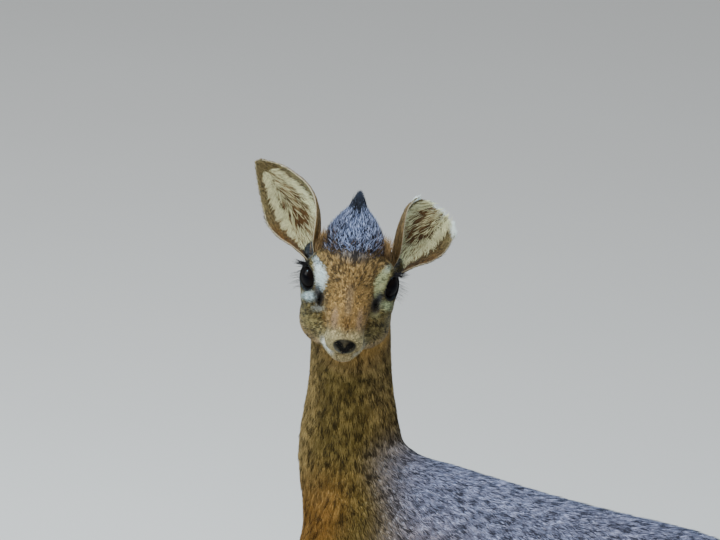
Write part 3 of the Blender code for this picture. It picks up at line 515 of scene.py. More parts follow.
@dataclass
class SurfaceGrid:
    """A box of grid lines, close together round the head, that turns a field into a surface."""

    fine: float = 0.00095
    coarse: float = 0.0025
    low: tuple = (-0.085, -0.205, 0.010)
    high: tuple = (0.125, 0.250, 0.590)
    head_middle: tuple = (0.004, 0.0, -0.004)
    head_before: tuple = (0.062, 0.056, 0.056)
    head_after: tuple = (0.060, 0.060, 0.050)

    def spaced(self, low: float, high: float, fine_low: float, fine_high: float) -> Array:
        """Grid lines from low to high, close together between fine_low and fine_high."""
        before = np.linspace(low, fine_low, max(2, round((fine_low - low) / self.coarse)))
        within = np.linspace(fine_low, fine_high, round((fine_high - fine_low) / self.fine))
        after = np.linspace(fine_high, high, max(2, round((high - fine_high) / self.coarse)))
        return np.concatenate([before[:-1], within, after[1:]]).astype(np.float32)

    def lines(self) -> tuple[Array, Array, Array]:
        """The lines of the grid along each axis."""
        middle = HEAD.world(np.array(self.head_middle))
        low, high = middle - self.head_before, middle + self.head_after
        return tuple(self.spaced(self.low[a], self.high[a], low[a], high[a]) for a in range(3))

    def sampled(self, shape, lines: tuple) -> Array:
        """The field at every crossing: exact near the surface, and from every fourth line far from it."""
        size = tuple(len(line) for line in lines)
        skip = 4
        kept = [np.unique(np.append(np.arange(0, n, skip), n - 1)) for n in size]
        rough_lines = [line[i] for line, i in zip(lines, kept)]
        rough_points = np.stack(np.meshgrid(*rough_lines, indexing="ij"), axis=-1)
        rough = shape(rough_points.reshape(-1, 3)).reshape(rough_points.shape[:3])
        nearest = [np.minimum(np.searchsorted(i, np.arange(n)), len(i) - 1) for n, i in zip(size, kept)]
        values = rough[np.ix_(*nearest)].copy()
        close = np.flatnonzero(np.abs(values).ravel() < self.coarse * skip * 1.9)
        where = np.unravel_index(close, size)
        points = np.stack([line[i] for line, i in zip(lines, where)], axis=1)
        values.ravel()[close] = shape(points.astype(np.float32))
        return values

    def without_pinches(self, values: Array) -> Array:
        """Fills grid squares whose corners are in and out by turns, where the surface would touch itself."""
        for _ in range(6):
            found = 0
            for axis in range(3):
                grid = np.moveaxis(values, axis, 0)
                corners = [grid[:, :-1, :-1], grid[:, 1:, :-1], grid[:, 1:, 1:], grid[:, :-1, 1:]]
                inner = [corner < 0 for corner in corners]
                crossed = (inner[0] == inner[2]) & (inner[1] == inner[3]) & (inner[0] != inner[1])
                found += int(crossed.sum())
                for corner, within in zip(corners, inner):
                    corner[crossed & ~within] = -0.00005
            if not found:
                break
        return values

    def surface(self, shape) -> tuple[Array, Array]:
        """Points and four-sided faces where the field is zero.

        Each crossed cell has one point, the mean of its edges' crossings, and each crossed edge one face.

        Args:
            shape: the field, a function of points.

        Returns:
            The points and the faces' corner numbers.
        """
        lines = self.lines()
        values = self.without_pinches(self.sampled(shape, lines))
        cells_shape = np.array(values.shape) - 1
        inside = values < 0
        count = np.zeros(cells_shape, np.int8)
        for i, j, k in CORNERS:
            count += inside[i:i + cells_shape[0], j:j + cells_shape[1], k:k + cells_shape[2]]
        cells = np.argwhere((count > 0) & (count < 8))
        at = [values[tuple((cells + c).T)] for c in CORNERS]
        place = [
            np.stack([line[(cells + c)[:, a]] for a, line in enumerate(lines)], axis=1) for c in CORNERS
        ]
        total = np.zeros((len(cells), 3))
        crossings = np.zeros(len(cells))
        for a, b in EDGES:
            crossed = (at[a] < 0) != (at[b] < 0)
            share = (at[a] / np.where(crossed, at[a] - at[b], 1.0))[:, None]
            total += np.where(crossed[:, None], place[a] * (1 - share) + place[b] * share, 0.0)
            crossings += crossed
        number = np.full(cells_shape, -1)
        number[tuple(cells.T)] = np.arange(len(cells))
        faces = []
        for axis in range(3):
            one, two = [a for a in range(3) if a != axis]
            step = np.eye(3, dtype=int)
            here = np.take(inside, range(cells_shape[axis]), axis)
            there = np.take(inside, range(1, cells_shape[axis] + 1), axis)
            start = np.argwhere(here != there)
            whole = (start[:, one] > 0) & (start[:, two] > 0)
            whole &= (start[:, one] < cells_shape[one]) & (start[:, two] < cells_shape[two])
            start = start[whole]
            ring = [start - step[one] - step[two], start - step[two], start, start - step[one]]
            quads = np.stack([number[tuple(r.T)] for r in ring], axis=1)
            outward = inside[tuple(start.T)] ^ (axis == 1)
            faces.append(np.where(outward[:, None], quads, quads[:, ::-1]))
        return total / crossings[:, None], np.vstack(faces)


def new_mesh(name: str, points: Array, faces: Array, smooth: bool = True) -> bpy.types.Object:
    """A mesh object from arrays.

    Args:
        name: the object's name.
        points: one row of x, y, z for each point.
        faces: one row of corner numbers for each face.
        smooth: whether its faces are shaded smooth.

    Returns:
        The linked object, at the origin.
    """
    mesh = bpy.data.meshes.new(name)
    mesh.vertices.add(len(points))
    mesh.vertices.foreach_set("co", np.asarray(points, np.float32).ravel())
    corners = faces.shape[1]
    mesh.loops.add(faces.size)
    mesh.loops.foreach_set("vertex_index", faces.astype(np.int32).ravel())
    mesh.polygons.add(len(faces))
    mesh.polygons.foreach_set("loop_start", np.arange(0, faces.size, corners, dtype=np.int32))
    mesh.polygons.foreach_set("use_smooth", np.full(len(faces), smooth))
    mesh.update()
    mesh.validate()
    made = bpy.data.objects.new(name, mesh)
    bpy.context.scene.collection.objects.link(made)
    return made


def grid_faces(rows: int, columns: int, closed: bool) -> Array:
    """Four-sided faces of a grid of points, whose columns join up if closed."""
    r, c = np.meshgrid(np.arange(rows - 1), np.arange(columns if closed else columns - 1), indexing="ij")
    r, c = r.ravel(), c.ravel()
    d = (c + 1) % columns
    return np.stack([r * columns + c, r * columns + d, (r + 1) * columns + d, (r + 1) * columns + c], axis=1)


def paint(made: bpy.types.Object, name: str, colours: Array) -> None:
    """Stores one colour for each point as a named attribute."""
    layer = made.data.color_attributes.new(name, "FLOAT_COLOR", "POINT")
    full = np.ones((len(colours), 4), np.float32)
    full[:, :3] = colours
    layer.data.foreach_set("color", full.ravel())


def vertex_arrays(made: bpy.types.Object) -> tuple[Array, Array]:
    """An object's points and their normals."""
    count = len(made.data.vertices)
    points, normals = np.zeros(count * 3, np.float32), np.zeros(count * 3, np.float32)
    made.data.vertices.foreach_get("co", points)
    made.data.vertices.foreach_get("normal", normals)
    return points.reshape(-1, 3), normals.reshape(-1, 3)


def finished(
    made: bpy.types.Object, finish: bpy.types.Material, slot: str, *replaced: str
) -> bpy.types.Object:
    """Gives a piece its finish and puts it on the root body.

    Args:
        made: the piece.
        finish: its material.
        slot: not used.
        replaced: the solids that it stands for, if any.

    Returns:
        The piece.
    """
    made.data.materials.append(finish)
    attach(made, "root")
    if replaced:
        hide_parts(*replaced)
    LOG.info("%s: %d faces", made.name, len(made.data.polygons))
    return made


def frame_shift() -> Array:
    """How far the solids' frame lies from the body's own frame, from the box of the left eye."""
    low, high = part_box("eye_left")
    middle = (np.array(low) + np.array(high)) / 2
    return middle - HEAD.world(Flesh().eye_centre(1))


SHIFT = frame_shift()


# Markings, with painted light among them

@dataclass(frozen=True)
class Palette:
    """The coat's colours in linear light. Some carry painted light: a blue sky sheen on the back, rim light
    on the neck, sky light and shade on the two sides of the pale face marks, a bluish shade atop the brow
    band and a wet highlight on the nose pad.
    """

    # The back's grizzled grey, with a painted blue sky sheen on the top of the trunk.
    back: tuple = (0.266, 0.287, 0.425)
    neck: tuple = (0.185, 0.132, 0.036)
    # Painted rim light: a brighter copy of the neck's colour, laid along the neck's forward edge and its
    # nape.
    neck_front: tuple = (0.42, 0.30, 0.12)
    chest: tuple = (0.30, 0.155, 0.034)
    flank: tuple = (0.33, 0.215, 0.100)
    leg: tuple = (0.42, 0.235, 0.095)
    belly: tuple = (0.52, 0.47, 0.38)
    forehead: tuple = (0.212, 0.128, 0.044)
    bridge: tuple = (0.285, 0.168, 0.054)
    bridge_line: tuple = (0.21, 0.155, 0.105)
    bare_bridge: tuple = (0.37, 0.25, 0.165)
    nose_spot: tuple = (0.105, 0.050, 0.010)
    crown: tuple = (0.092, 0.082, 0.084)
    # Pale face marks: white is them in painted bluish sky light on the head's right, cream the same marks in
    # painted warm shade on its left.
    white: tuple = (0.70, 0.80, 0.78)
    cream: tuple = (0.56, 0.57, 0.30)
    cheek: tuple = (0.168, 0.130, 0.048)
    jaw: tuple = (0.36, 0.255, 0.115)
    muzzle: tuple = (0.41, 0.335, 0.170)
    lip: tuple = (0.66, 0.66, 0.58)
    chin: tuple = (0.44, 0.33, 0.19)
    throat: tuple = (0.34, 0.21, 0.062)
    black: tuple = (0.010, 0.010, 0.011)
    rim: tuple = (0.004, 0.004, 0.004)
    nostril: tuple = (0.002, 0.002, 0.002)
    # The brow band's top: grizzled grey where it meets the crown, with a painted blue-grey sky shade.
    band_top: tuple = (0.17, 0.20, 0.24)
    duct: tuple = (0.050, 0.055, 0.068)
    pad: tuple = (0.009, 0.009, 0.007)
    # Painted wet highlight: a grey-green sheen along the lower edge of the black nose pad.
    pad_low: tuple = (0.034, 0.037, 0.024)


NOSTRIL_MARKS = [(0.47, -5.06, 0.21), (0.34, -5.20, 0.21), (0.18, -5.45, 0.18), (0.04, -5.68, 0.14)]


@dataclass
class Layers:
    """Colour and amount of flecking of many places, built up by laying one tone over another."""

    colour: Array
    speck: Array
    within: Array | float = 1.0

    def mix(self, mask: Array, tone: tuple | Array, fleck: float = 0.0) -> None:
        """Lays tone and fleck over the rest: new = old (1 - m) + tone m, where m is mask * within."""
        share = np.clip(mask * self.within, 0.0, 1.0)
        self.colour = self.colour * (1 - share[..., None]) + np.array(tone) * share[..., None]
        self.speck = self.speck * (1 - share) + fleck * share


@dataclass(frozen=True)
class Spot:
    """An oval mark on each side of the face: its middle and half sizes in centimetres, and its soft edge."""

    middle: tuple[float, float]
    size: tuple[float, float]
    soft: float

    def mask(self, u: Array, v: Array, ahead: Array) -> Array:
        """1 inside the oval, fading over soft of its size, and only on the front of the head."""
        away = np.hypot((u - self.middle[0]) / self.size[0], (v - self.middle[1]) / self.size[1])
        return (1.0 - ramp(away, 1.0 - self.soft, 1.0 + self.soft)) * ramp(ahead, -1.2, -0.4)


BRIDGE_SIDE = Spot((0.90, -3.10), (0.22, 0.85), 0.6)
NOSE_SPOT = Spot((0.0, -3.60), (0.36, 0.62), 0.7)
UNDER_EYE = Spot((2.74, -1.62), (0.54, 0.40), 0.55)
UNDER_GLAND = Spot((2.08, -2.50), (0.36, 0.24), 0.6)
EYE_CORNER = Spot((2.24, -0.98), (0.22, 0.44), 0.5)
GLAND_EDGE = Spot((2.04, -1.66), (0.34, 0.70), 0.5)
GLAND = Spot((2.02, -1.68), (0.15, 0.48), 0.5)


@dataclass
class Markings:
    """The coat's pattern, worked out from the place on the body, for the skin and the tufts alike, with
    painted sky sheen, rim light, shade and a wet highlight laid in among it.
    """

    palette: Palette = field(default_factory=Palette)
    flesh: Flesh = field(default_factory=Flesh)

    def eye_ring(self, local: Array, side: int) -> tuple[Array, Array]:
        """How far a place lies from an eye's middle, in opening sizes, and its offset ahead."""
        out, long, short = self.flesh.eye_frame(side)
        wide, high = self.flesh.eye_opening_size
        offset = local - self.flesh.eye_centre(side)
        ahead = offset @ long
        ring = np.sqrt((ahead / wide) ** 2 + ((offset @ short) / high) ** 2)
        outer = (offset @ out) > 0.002
        return np.where(outer & (np.linalg.norm(offset, axis=1) < 0.030), ring, 9.0), ahead

    def pad(self, local: Array) -> Array:
        """1 on the bare nose pad."""
        away = np.linalg.norm((local - (0.0605, 0, -0.0206)) / (0.0088, 0.0084, 0.0064), axis=1)
        return 1.0 - ramp(away, 0.96, 1.12)

    def bare(self, points: Array) -> Array:
        """1 where the skin is bare and moist: nose pad and lid rims; 0 on the coat."""
        local = HEAD.local(points)
        found = self.pad(local)
        for side in (1, -1):
            ring, _ = self.eye_ring(local, side)
            found = np.maximum(found, 1.0 - ramp(ring, 1.06, 1.16))
        return found * (1.0 - 0.7 * self.nostril(local))

    def nostril(self, local: Array) -> Array:
        """1 in the two comma-shaped nostrils, which meet at the foot of the pad."""
        a, u, v = face_place(local)
        away = [np.hypot(u - left, v - height) - size for left, height, size in NOSTRIL_MARKS]
        return (1.0 - ramp(np.minimum.reduce(away), -0.02, 0.07)) * ramp(a, 5.2, 5.6)

    def head(self, points: Array, base: Array, grizzle: Array) -> tuple[Array, Array]:
        """Lays the face's markings over base. Each is a mask between 0 and 1 that mixes in its colour.

        They are placed by a, the distance ahead, u, the distance aside, and v, the height up the slope.
        Three of the layers are painted light and shade: the difference between the pale marks' two sides,
        the bluish top of the brow band and the pale lower edge of the nose pad.
        """
        p = self.palette
        local = HEAD.local(points)
        a, u, v = face_place(local)
        b, c = (local[:, 1:] * 100.0).T
        near = 1.0 - ramp(np.linalg.norm(local - (0.008, 0, -0.006), axis=1), 0.056, 0.076)
        near *= ramp(a * 0.54 + c * 0.22 + 2.75, -0.7, 0.7)
        layers = Layers(base.copy(), grizzle.copy(), near)
        mix = layers.mix

        def at(spot: Spot) -> Array:
            """How far each place lies within a spot, from 0 to 1."""
            return spot.mask(u, v, a)

        mix(np.ones(len(a)), p.cheek, 0.95)
        mix(ramp(-c - 0.10 * a, 2.8, 4.0), p.jaw, 0.7)
        mix(ramp(-c, 3.6, 4.6) * (1.0 - ramp(a, 1.5, 3.0)), p.throat, 0.3)
        mix(ramp(a, -2.0, -0.6) * ramp(a, 1.8, 4.2) * ramp(-v, 2.6, 4.0), p.muzzle, 0.85)
        edge = 0.10 * v + 0.65 * ramp(v, 0.9, 1.8)
        top = (1.0 - ramp(u, 1.50 + edge, 2.15 + edge)) * ramp(v, -4.4, -3.2) * ramp(a, -2.6, -1.0)
        mix(top, p.forehead, 1.0)
        mix(top * (1.0 - ramp(v, -1.6, 0.2)), p.bridge, 0.75)
        line = (1.0 - ramp(u, 0.06, 0.45)) * ramp(-v, 0.0, 0.9) * ramp(v, -3.2, -2.3)
        mix(0.45 * top * line, p.bridge_line, 0.8)
        mix(0.5 * at(BRIDGE_SIDE), p.bare_bridge, 0.1)
        mix(0.75 * at(NOSE_SPOT), p.nose_spot, 0.8)
        mix(0.9 * ramp(v - 0.33 * u**2, 1.00, 2.10), p.crown, 1.0)
        mix(ramp(-a, 2.2, 3.2) * ramp(c, -1.5, 0.5), p.cheek, 0.9)
        # Painted light on the face's two sides: 0 on the head's right, painted as sky-lit, and 1 on its
        # left, painted in shade; the lip's pale mark fades on the shaded side.
        shaded_side = np.clip(0.5 + b, 0.0, 1.0)
        lip = (1.0 - ramp(np.abs(c + 3.34 - 0.05 * (a - 3.0)), 0.08, 0.40))
        lip *= ramp(a, 2.6, 3.8) * ramp(u, 0.5, 1.0)
        mix(lip * (1.0 - 0.6 * shaded_side), p.lip, 0.5)
        mix(ramp(-c, 3.65, 3.95) * ramp(a, 1.0, 3.0), p.chin, 0.4)
        # The pale marks: painted bluish sky light on the head's right and painted warm shade on its left.
        pale = np.array(p.white) * (1.0 - shaded_side[:, None]) + np.array(p.cream) * shaded_side[:, None]
        band = self.brow_band(a, u, v)
        mix(0.92 * band, pale, 0.12)
        # The band's top: grizzled grey with a painted blue-grey sky shade.
        mix(0.8 * band * ramp(v, 0.7, 1.6), p.band_top, 0.9)
        mix(0.85 * at(UNDER_EYE), pale * (0.66, 0.72, 0.76), 0.4)
        mix(0.45 * at(UNDER_GLAND), pale * 0.85, 0.4)
        mix(0.9 * at(EYE_CORNER), p.duct, 0.4)
        mix(0.8 * at(GLAND_EDGE), p.duct, 0.4)
        mix(at(GLAND), p.black, 0.05)
        ear_foot = np.sqrt(((u - 3.05) / 0.75) ** 2 + ((c - 1.10) / 0.85) ** 2 + ((a + 2.1) / 1.8) ** 2)
        mix(0.95 * (1.0 - ramp(ear_foot, 0.7, 1.2)), p.duct, 0.8)
        for eye in (1, -1):
            ring, ahead = self.eye_ring(local, eye)
            mix(0.8 * (1.0 - ramp(ring, 1.25, 1.55)) * ramp(-ahead * 100, 0.1, 0.7), p.rim, 0.3)
            mix(1.0 - ramp(ring, 1.10, 1.20), p.rim)
        pad = self.pad(local)
        mix(pad, p.pad)
        # Painted wet highlight along the nose pad's lower edge.
        mix(pad * ramp(-v, 5.45, 5.65), p.pad_low)
        mix(self.nostril(local), p.nostril)
        return layers.colour, layers.speck

    def brow_band(self, a: Array, u: Array, v: Array) -> Array:
        """1 on the pale band between eye and forehead, at u = 2.03 + 0.40 (v - 0.15)^1.25 above v = 0.15.

        It is widest beside the eye, and fades 1.7 times as slowly towards the eye as towards the forehead.
        """
        bend = 2.03 + 0.40 * np.clip(v - 0.15, 0.0, 9.0) ** 1.25 - 0.05 * np.clip(-v, 0.0, 9.0)
        width = np.interp(v, (-1.3, -0.6, 0.2, 0.9, 1.7), (0.12, 0.26, 0.36, 0.23, 0.09))
        band = 1.0 - ramp(np.abs(u - bend) / (width * np.where(u > bend, 1.7, 1.0)), 0.62, 1.22)
        return band * ramp(v, -1.30, -0.95) * (1.0 - ramp(v, 1.25, 1.80)) * ramp(a, -1.4, -0.6)

    def body(self, points: Array, normals: Array) -> tuple[Array, Array]:
        """The trunk's, neck's, tail's and legs' colours by height, side and part, with a painted blue sky
        sheen on the top of the trunk and painted rim light on the neck's forward edge and nape.

        The height share is (z - belly) / (back - belly) at the place's station along the trunk.
        """
        p = self.palette
        x, y, z = points.T
        rows = np.array(TRUNK)
        top = np.interp(y, rows[:, 0], rows[:, 1])
        low = np.interp(y, rows[:, 0], rows[:, 2])
        share = (z - low) / (top - low)
        layers = Layers(np.tile(np.array(p.flank), (len(points), 1)), np.full(len(points), 0.75))
        mix = layers.mix
        # The top of the trunk: grizzled grey with a painted blue sky sheen.
        mix(ramp(share + 0.05 * np.sin(y * 45.0), 0.34, 0.88), p.back, 1.0)
        mix(ramp(-share, -0.22, -0.02) * ramp(-normals[:, 2], 0.1, 0.7), p.belly)
        mix(1.0 - ramp(z, 0.17, 0.255), p.leg, 0.25)
        inner = np.clip(-normals[:, 0] * np.sign(x), 0, 1) * (1.0 - ramp(z, 0.24, 0.30)) * ramp(z, 0.12, 0.2)
        mix(ramp(inner, 0.3, 0.8), p.belly, 0.05)
        neck = ramp(z, 0.265, 0.315) * (1.0 - ramp(y + 0.010 * np.sin(z * 70.0), -0.102, -0.046))
        mix(neck, p.neck, 1.0)
        front = 1.0 - ramp(y, -0.125, -0.090)
        mix(front * (1.0 - ramp(z, 0.335, 0.385)) * ramp(z, 0.16, 0.24), p.chest, 0.6)
        # Painted rim light: the neck is lit brighter along its forward-facing edge and, higher up, along its
        # nape.
        forward = ramp(-normals[:, 1] + 0.35 * normals[:, 0], 0.45, 1.0) * ramp(z, 0.33, 0.38)
        mix(0.8 * neck * forward, p.neck_front, 0.9)
        mix(0.5 * neck * ramp(normals[:, 1], 0.45, 0.95) * ramp(z, 0.38, 0.42), p.neck_front, 0.9)
        mix(ramp(y, 0.205, 0.222) * ramp(-normals[:, 1], 0.1, 0.6), p.belly)
        return layers.colour, layers.speck

    def coat(self, points: Array, normals: Array) -> tuple[Array, Array]:
        """Colour and amount of flecking at each place."""
        colour, speck = self.body(points, normals)
        return self.head(points, colour, speck)


# Finishes

class Nodes:
    """A small builder for one material's node tree."""

    def __init__(self, name: str) -> None:
        """Starts a material of that name with its Principled shader."""
        self.material = bpy.data.materials.new(name)
        self.material.use_nodes = True
        self.tree = self.material.node_tree
        self.shader = self.tree.nodes["Principled BSDF"]

    def add(self, kind: str, **values: object) -> bpy.types.Node:
        """A node of that kind with its properties or input values set."""
        node = self.tree.nodes.new(kind)
        for key, value in values.items():
            if hasattr(node, key):
                setattr(node, key, value)
            else:
                node.inputs[key.replace("_", " ")].default_value = value
        return node

    def link(self, start: bpy.types.NodeSocket, end: bpy.types.NodeSocket) -> None:
        """Joins an output to an input."""
        self.tree.links.new(start, end)

    def place(self) -> bpy.types.NodeSocket:
        """Object coordinates."""
        return self.add("ShaderNodeTexCoord").outputs["Object"]

    def noise(self, scale: float, detail: float = 4.0) -> bpy.types.Node:
        """Noise on Object coordinates."""
        node = self.add("ShaderNodeTexNoise", Scale=scale, Detail=detail)
        self.link(self.place(), node.inputs["Vector"])
        return node

    def painted(self, scale: float, low: float, high: float) -> bpy.types.NodeSocket:
        """Colours the shader by the attribute 'coat' times noise from low to high, and returns the noise."""
        colour = self.add("ShaderNodeAttribute", attribute_name="coat")
        noise = self.noise(scale, 3.0)
        shade = self.add("ShaderNodeMapRange", From_Min=0.3, From_Max=0.7, To_Min=low, To_Max=high)
        self.link(noise.outputs["Fac"], shade.inputs["Value"])
        mix = self.add("ShaderNodeMix", data_type="RGBA", blend_type="MULTIPLY")
        mix.inputs["Factor"].default_value = 1.0
        self.link(colour.outputs["Color"], mix.inputs["A"])
        self.link(shade.outputs["Result"], mix.inputs["B"])
        self.link(mix.outputs["Result"], self.shader.inputs["Base Color"])
        return noise.outputs["Fac"]

    def gloss(self, **values: float) -> None:
        """Sets the shader's inputs by name, with _ for a space."""
        for key, value in values.items():
            self.shader.inputs[key.replace("_", " ")].default_value = value

    def bump(self, height: bpy.types.NodeSocket, strength: float, distance: float) -> None:
        """A bump from a height, into the shader's normal."""
        node = self.add("ShaderNodeBump", Strength=strength, Distance=distance)
        self.link(height, node.inputs["Height"])
        self.link(node.outputs["Normal"], self.shader.inputs["Normal"])


@dataclass(frozen=True)
class SkinFinish:
    """The skin under the coat: painted markings, broken by fine noise, and moist where it is bare."""

    name: str = "dik_dik_skin"
    roughness: float = 0.75
    moist_roughness: float = 0.32
    specular: float = 0.07

    def build(self) -> bpy.types.Material:
        """The colour is the attribute 'coat' times a fine noise, and the gloss follows 'bare'."""
        nodes = Nodes(self.name)
        noise = nodes.painted(900.0, 0.55, 1.15)
        bare = nodes.add("ShaderNodeAttribute", attribute_name="bare")
        rough = nodes.add("ShaderNodeMapRange", To_Min=self.roughness, To_Max=self.moist_roughness)
        nodes.link(bare.outputs["Fac"], rough.inputs["Value"])
        nodes.link(rough.outputs["Result"], nodes.shader.inputs["Roughness"])
        nodes.gloss(Specular_IOR_Level=self.specular)
        nodes.bump(noise, 0.5, 0.0008)
        return nodes.material


@dataclass(frozen=True)
class HairFinish:
    """Hair: the tuft's own colour, with a soft sheen along it."""

    name: str = "dik_dik_hair"
    roughness: float = 0.6
    specular: float = 0.12

    def build(self) -> bpy.types.Material:
        """The colour is the attribute 'coat' times a gentle noise along the body."""
        nodes = Nodes(self.name)
        nodes.painted(70.0, 0.85, 1.12)
        nodes.gloss(Roughness=self.roughness, Specular_IOR_Level=self.specular)
        return nodes.material


@dataclass(frozen=True)
class PlainFinish:
    """Horn or eye: one colour with a slow variation, set gloss and a fine bump."""

    name: str
    colour: tuple
    roughness: float
    variation: float = 0.3
    scale: float = 180.0
    bump: float = 0.1

    def build(self) -> bpy.types.Material:
        """The colour runs between itself and a lighter shade by noise."""
        nodes = Nodes(self.name)
        noise = nodes.noise(self.scale, 5.0)
        mix = nodes.add("ShaderNodeMix", data_type="RGBA")
        lighter = [min(1.0, c * (1 + 3 * self.variation)) for c in self.colour]
        mix.inputs["A"].default_value = (*self.colour, 1.0)
        mix.inputs["B"].default_value = (*lighter, 1.0)
        nodes.link(noise.outputs["Fac"], mix.inputs["Factor"])
        nodes.link(mix.outputs["Result"], nodes.shader.inputs["Base Color"])
        nodes.gloss(Roughness=self.roughness)
        if self.bump:
            nodes.bump(noise.outputs["Fac"], self.bump, 0.0005)
        return nodes.material


# The lie of the coat and its unwrap

@dataclass
class Lie:
    """Which way the hair lies: back along the head and trunk, down the neck, legs and tail."""

    flesh: Flesh = field(default_factory=Flesh)

    def at(self, points: Array, normals: Array) -> Array:
        """The unit direction of the hair, in the surface.

        It is the sum over parts of the part's own direction times exp(-distance / 0.010), less what lies
        along the normal.
        """
        parts = self.flesh.parts(points.astype(np.float32))
        local = HEAD.local(points)
        head = np.linalg.norm(local - (0.005, 0, -0.008), axis=1) - 0.042
        x = points[:, 0]
        flow = np.zeros((len(points), 3))

        def blend(distance: Array, way: Array) -> None:
            """Adds one part's direction, weighted by nearness."""
            flow[:] += np.exp(-np.clip(distance, -0.004, 0.08) / 0.010)[:, None] * way

        outwards = np.stack([0.15 * np.sign(x), np.full(len(x), 1.0), np.full(len(x), -0.30)], axis=1)
        blend(parts["trunk"], outwards)
        blend(parts["neck"], np.array((0.0, 0.10, -1.0)))
        blend(parts["tail"], np.array((0.0, 0.35, -1.0)))
        for limb in Limb:
            blend(parts[limb.label], np.array((0.0, 0.15, -1.0)))
        back = np.stack([np.full(len(x), -1.0), local[:, 1] * 9.0, -0.25 + local[:, 2] * 9.0], axis=1)
        blend(head * 0.5, HEAD.way(back))
        flow -= normals * np.sum(flow * normals, axis=1, keepdims=True)
        return unit(flow)

    def unwrap(self, points: Array) -> Array:
        """Each place on an unwrap of the body: per part, the share along it and the angle round it.

        Args:
            points: places on the skin.

        Returns:
            One row of u and v for each place, each part in its own rectangle of the unit square.
        """
        local = HEAD.local(points)
        x, y, z = points.T
        turn = np.arctan2(x, z - 0.30) / (2 * math.pi) + 0.5
        found = np.stack([0.02 + 0.56 * (y + 0.20) / 0.46, 0.02 + 0.46 * turn], axis=1)
        neck = (z > 0.345) & (y < -0.075)
        turn = np.arctan2(x - 0.004, y + 0.13) / (2 * math.pi) + 0.5
        found[neck] = np.stack([0.62 + 0.36 * (z - 0.34) / 0.20, 0.02 + 0.46 * turn], axis=1)[neck]
        face = np.linalg.norm(local - (0.005, 0, -0.008), axis=1) < 0.062
        turn = np.arctan2(local[:, 1], local[:, 2] + 0.012) / (2 * math.pi) + 0.5
        found[face] = np.stack([0.62 + 0.36 * (local[:, 0] + 0.06) / 0.14, 0.52 + 0.46 * turn], axis=1)[face]
        for number, (front, left) in enumerate(((1, 1), (1, -1), (0, 1), (0, -1))):
            leg = (z < 0.21) & ((y < 0.0) == bool(front)) & ((x > 0) == (left > 0))
            middle = -0.11 if front else 0.17
            turn = np.arctan2(x - left * 0.036, y - middle) / (2 * math.pi) + 0.5
            strip = np.stack([0.02 + 0.56 * z / 0.22, 0.52 + 0.115 * number + 0.10 * turn], axis=1)
            found[leg] = strip[leg]
        return np.clip(found, 0.004, 0.996)


# Tufts

PATCH_WIDE = 0.0026
PATCH_LONG = 0.0028


@dataclass
class Strands:
    """Many small tapered hairs as one mesh: three-sided spikes along root + length (way s + bend s^2)."""

    roots: Array
    ways: Array
    bends: Array
    sides: Array
    lengths: Array
    widths: Array
    root_colours: Array
    tip_colours: Array
    patches: Array
    segments: int = 1
    flatness: float = 0.45
    banding: float = 1.0

    def build(self, name: str) -> bpy.types.Object:
        """The joined mesh, with its colours in the attribute 'coat' and its patches in the map 'OFBake'.

        The half width at share s is width (1 - s)^0.7 / 2. The three corners stand at 90, 210 and 330
        degrees in the plane of the side and the face, squeezed along the face by flatness. The colour at
        share s runs from the root's to the tip's by s^banding.
        """
        n, k = len(self.roots), self.segments
        shares = np.arange(k) / k
        angles = np.radians((90.0, 210.0, 330.0))
        face = unit(np.cross(self.sides, self.ways))
        s = shares[None, :, None]
        curve = self.ways[:, None] * s + self.bends[:, None] * s**2
        middle = self.roots[:, None] + self.lengths[:, None, None] * curve
        half = 0.5 * self.widths[:, None] * (1.0 - shares[None]) ** 0.7
        ring = np.cos(angles)[None, :, None] * self.sides[:, None]
        ring = ring + self.flatness * np.sin(angles)[None, :, None] * face[:, None]
        rings = middle[:, :, None] + half[:, :, None, None] * ring[:, None]
        tips = self.roots + self.lengths[:, None] * (self.ways + self.bends)
        per = 3 * k + 1
        points = np.concatenate([rings.reshape(n, 3 * k, 3), tips[:, None]], axis=1).reshape(-1, 3)
        faces = [(2, 1, 0)]
        for level in range(k - 1):
            for c in range(3):
                a, b = 3 * level + c, 3 * level + (c + 1) % 3
                faces += [(a, b, b + 3), (a, b + 3, a + 3)]
        last = 3 * (k - 1)
        faces += [(last + c, last + (c + 1) % 3, 3 * k) for c in range(3)]
        every = (np.arange(n)[:, None, None] * per + np.array(faces)[None]).reshape(-1, 3)
        made = new_mesh(name, points + SHIFT, every, smooth=True)
        along = np.append(np.repeat(shares, 3), 1.0)[None, :, None]
        shift = along**self.banding
        colours = self.root_colours[:, None] * (1 - shift) + self.tip_colours[:, None] * shift
        paint(made, "coat", colours.reshape(-1, 3))
        across = np.append(np.tile((0.0, -0.5, 0.5), k), 0.0) * PATCH_WIDE
        spread = np.stack([across, (along[0, :, 0] - 0.5) * PATCH_LONG], axis=1)
        uv = (self.patches[:, None] + spread[None]).reshape(-1, 2)
        layer = made.data.uv_layers.new(name="OFBake")
        layer.data.foreach_set("uv", uv[every.ravel()].astype(np.float32).ravel())
        return made


@dataclass(frozen=True)
class CoatZone:
    """One piece of the coat: its tufts' number and sizes, its slot and the size of its flecks."""

    name: str
    count: int
    length: float
    width: float
    lift: float
    slot: str
    clump: float
    jitter: float = 0.22


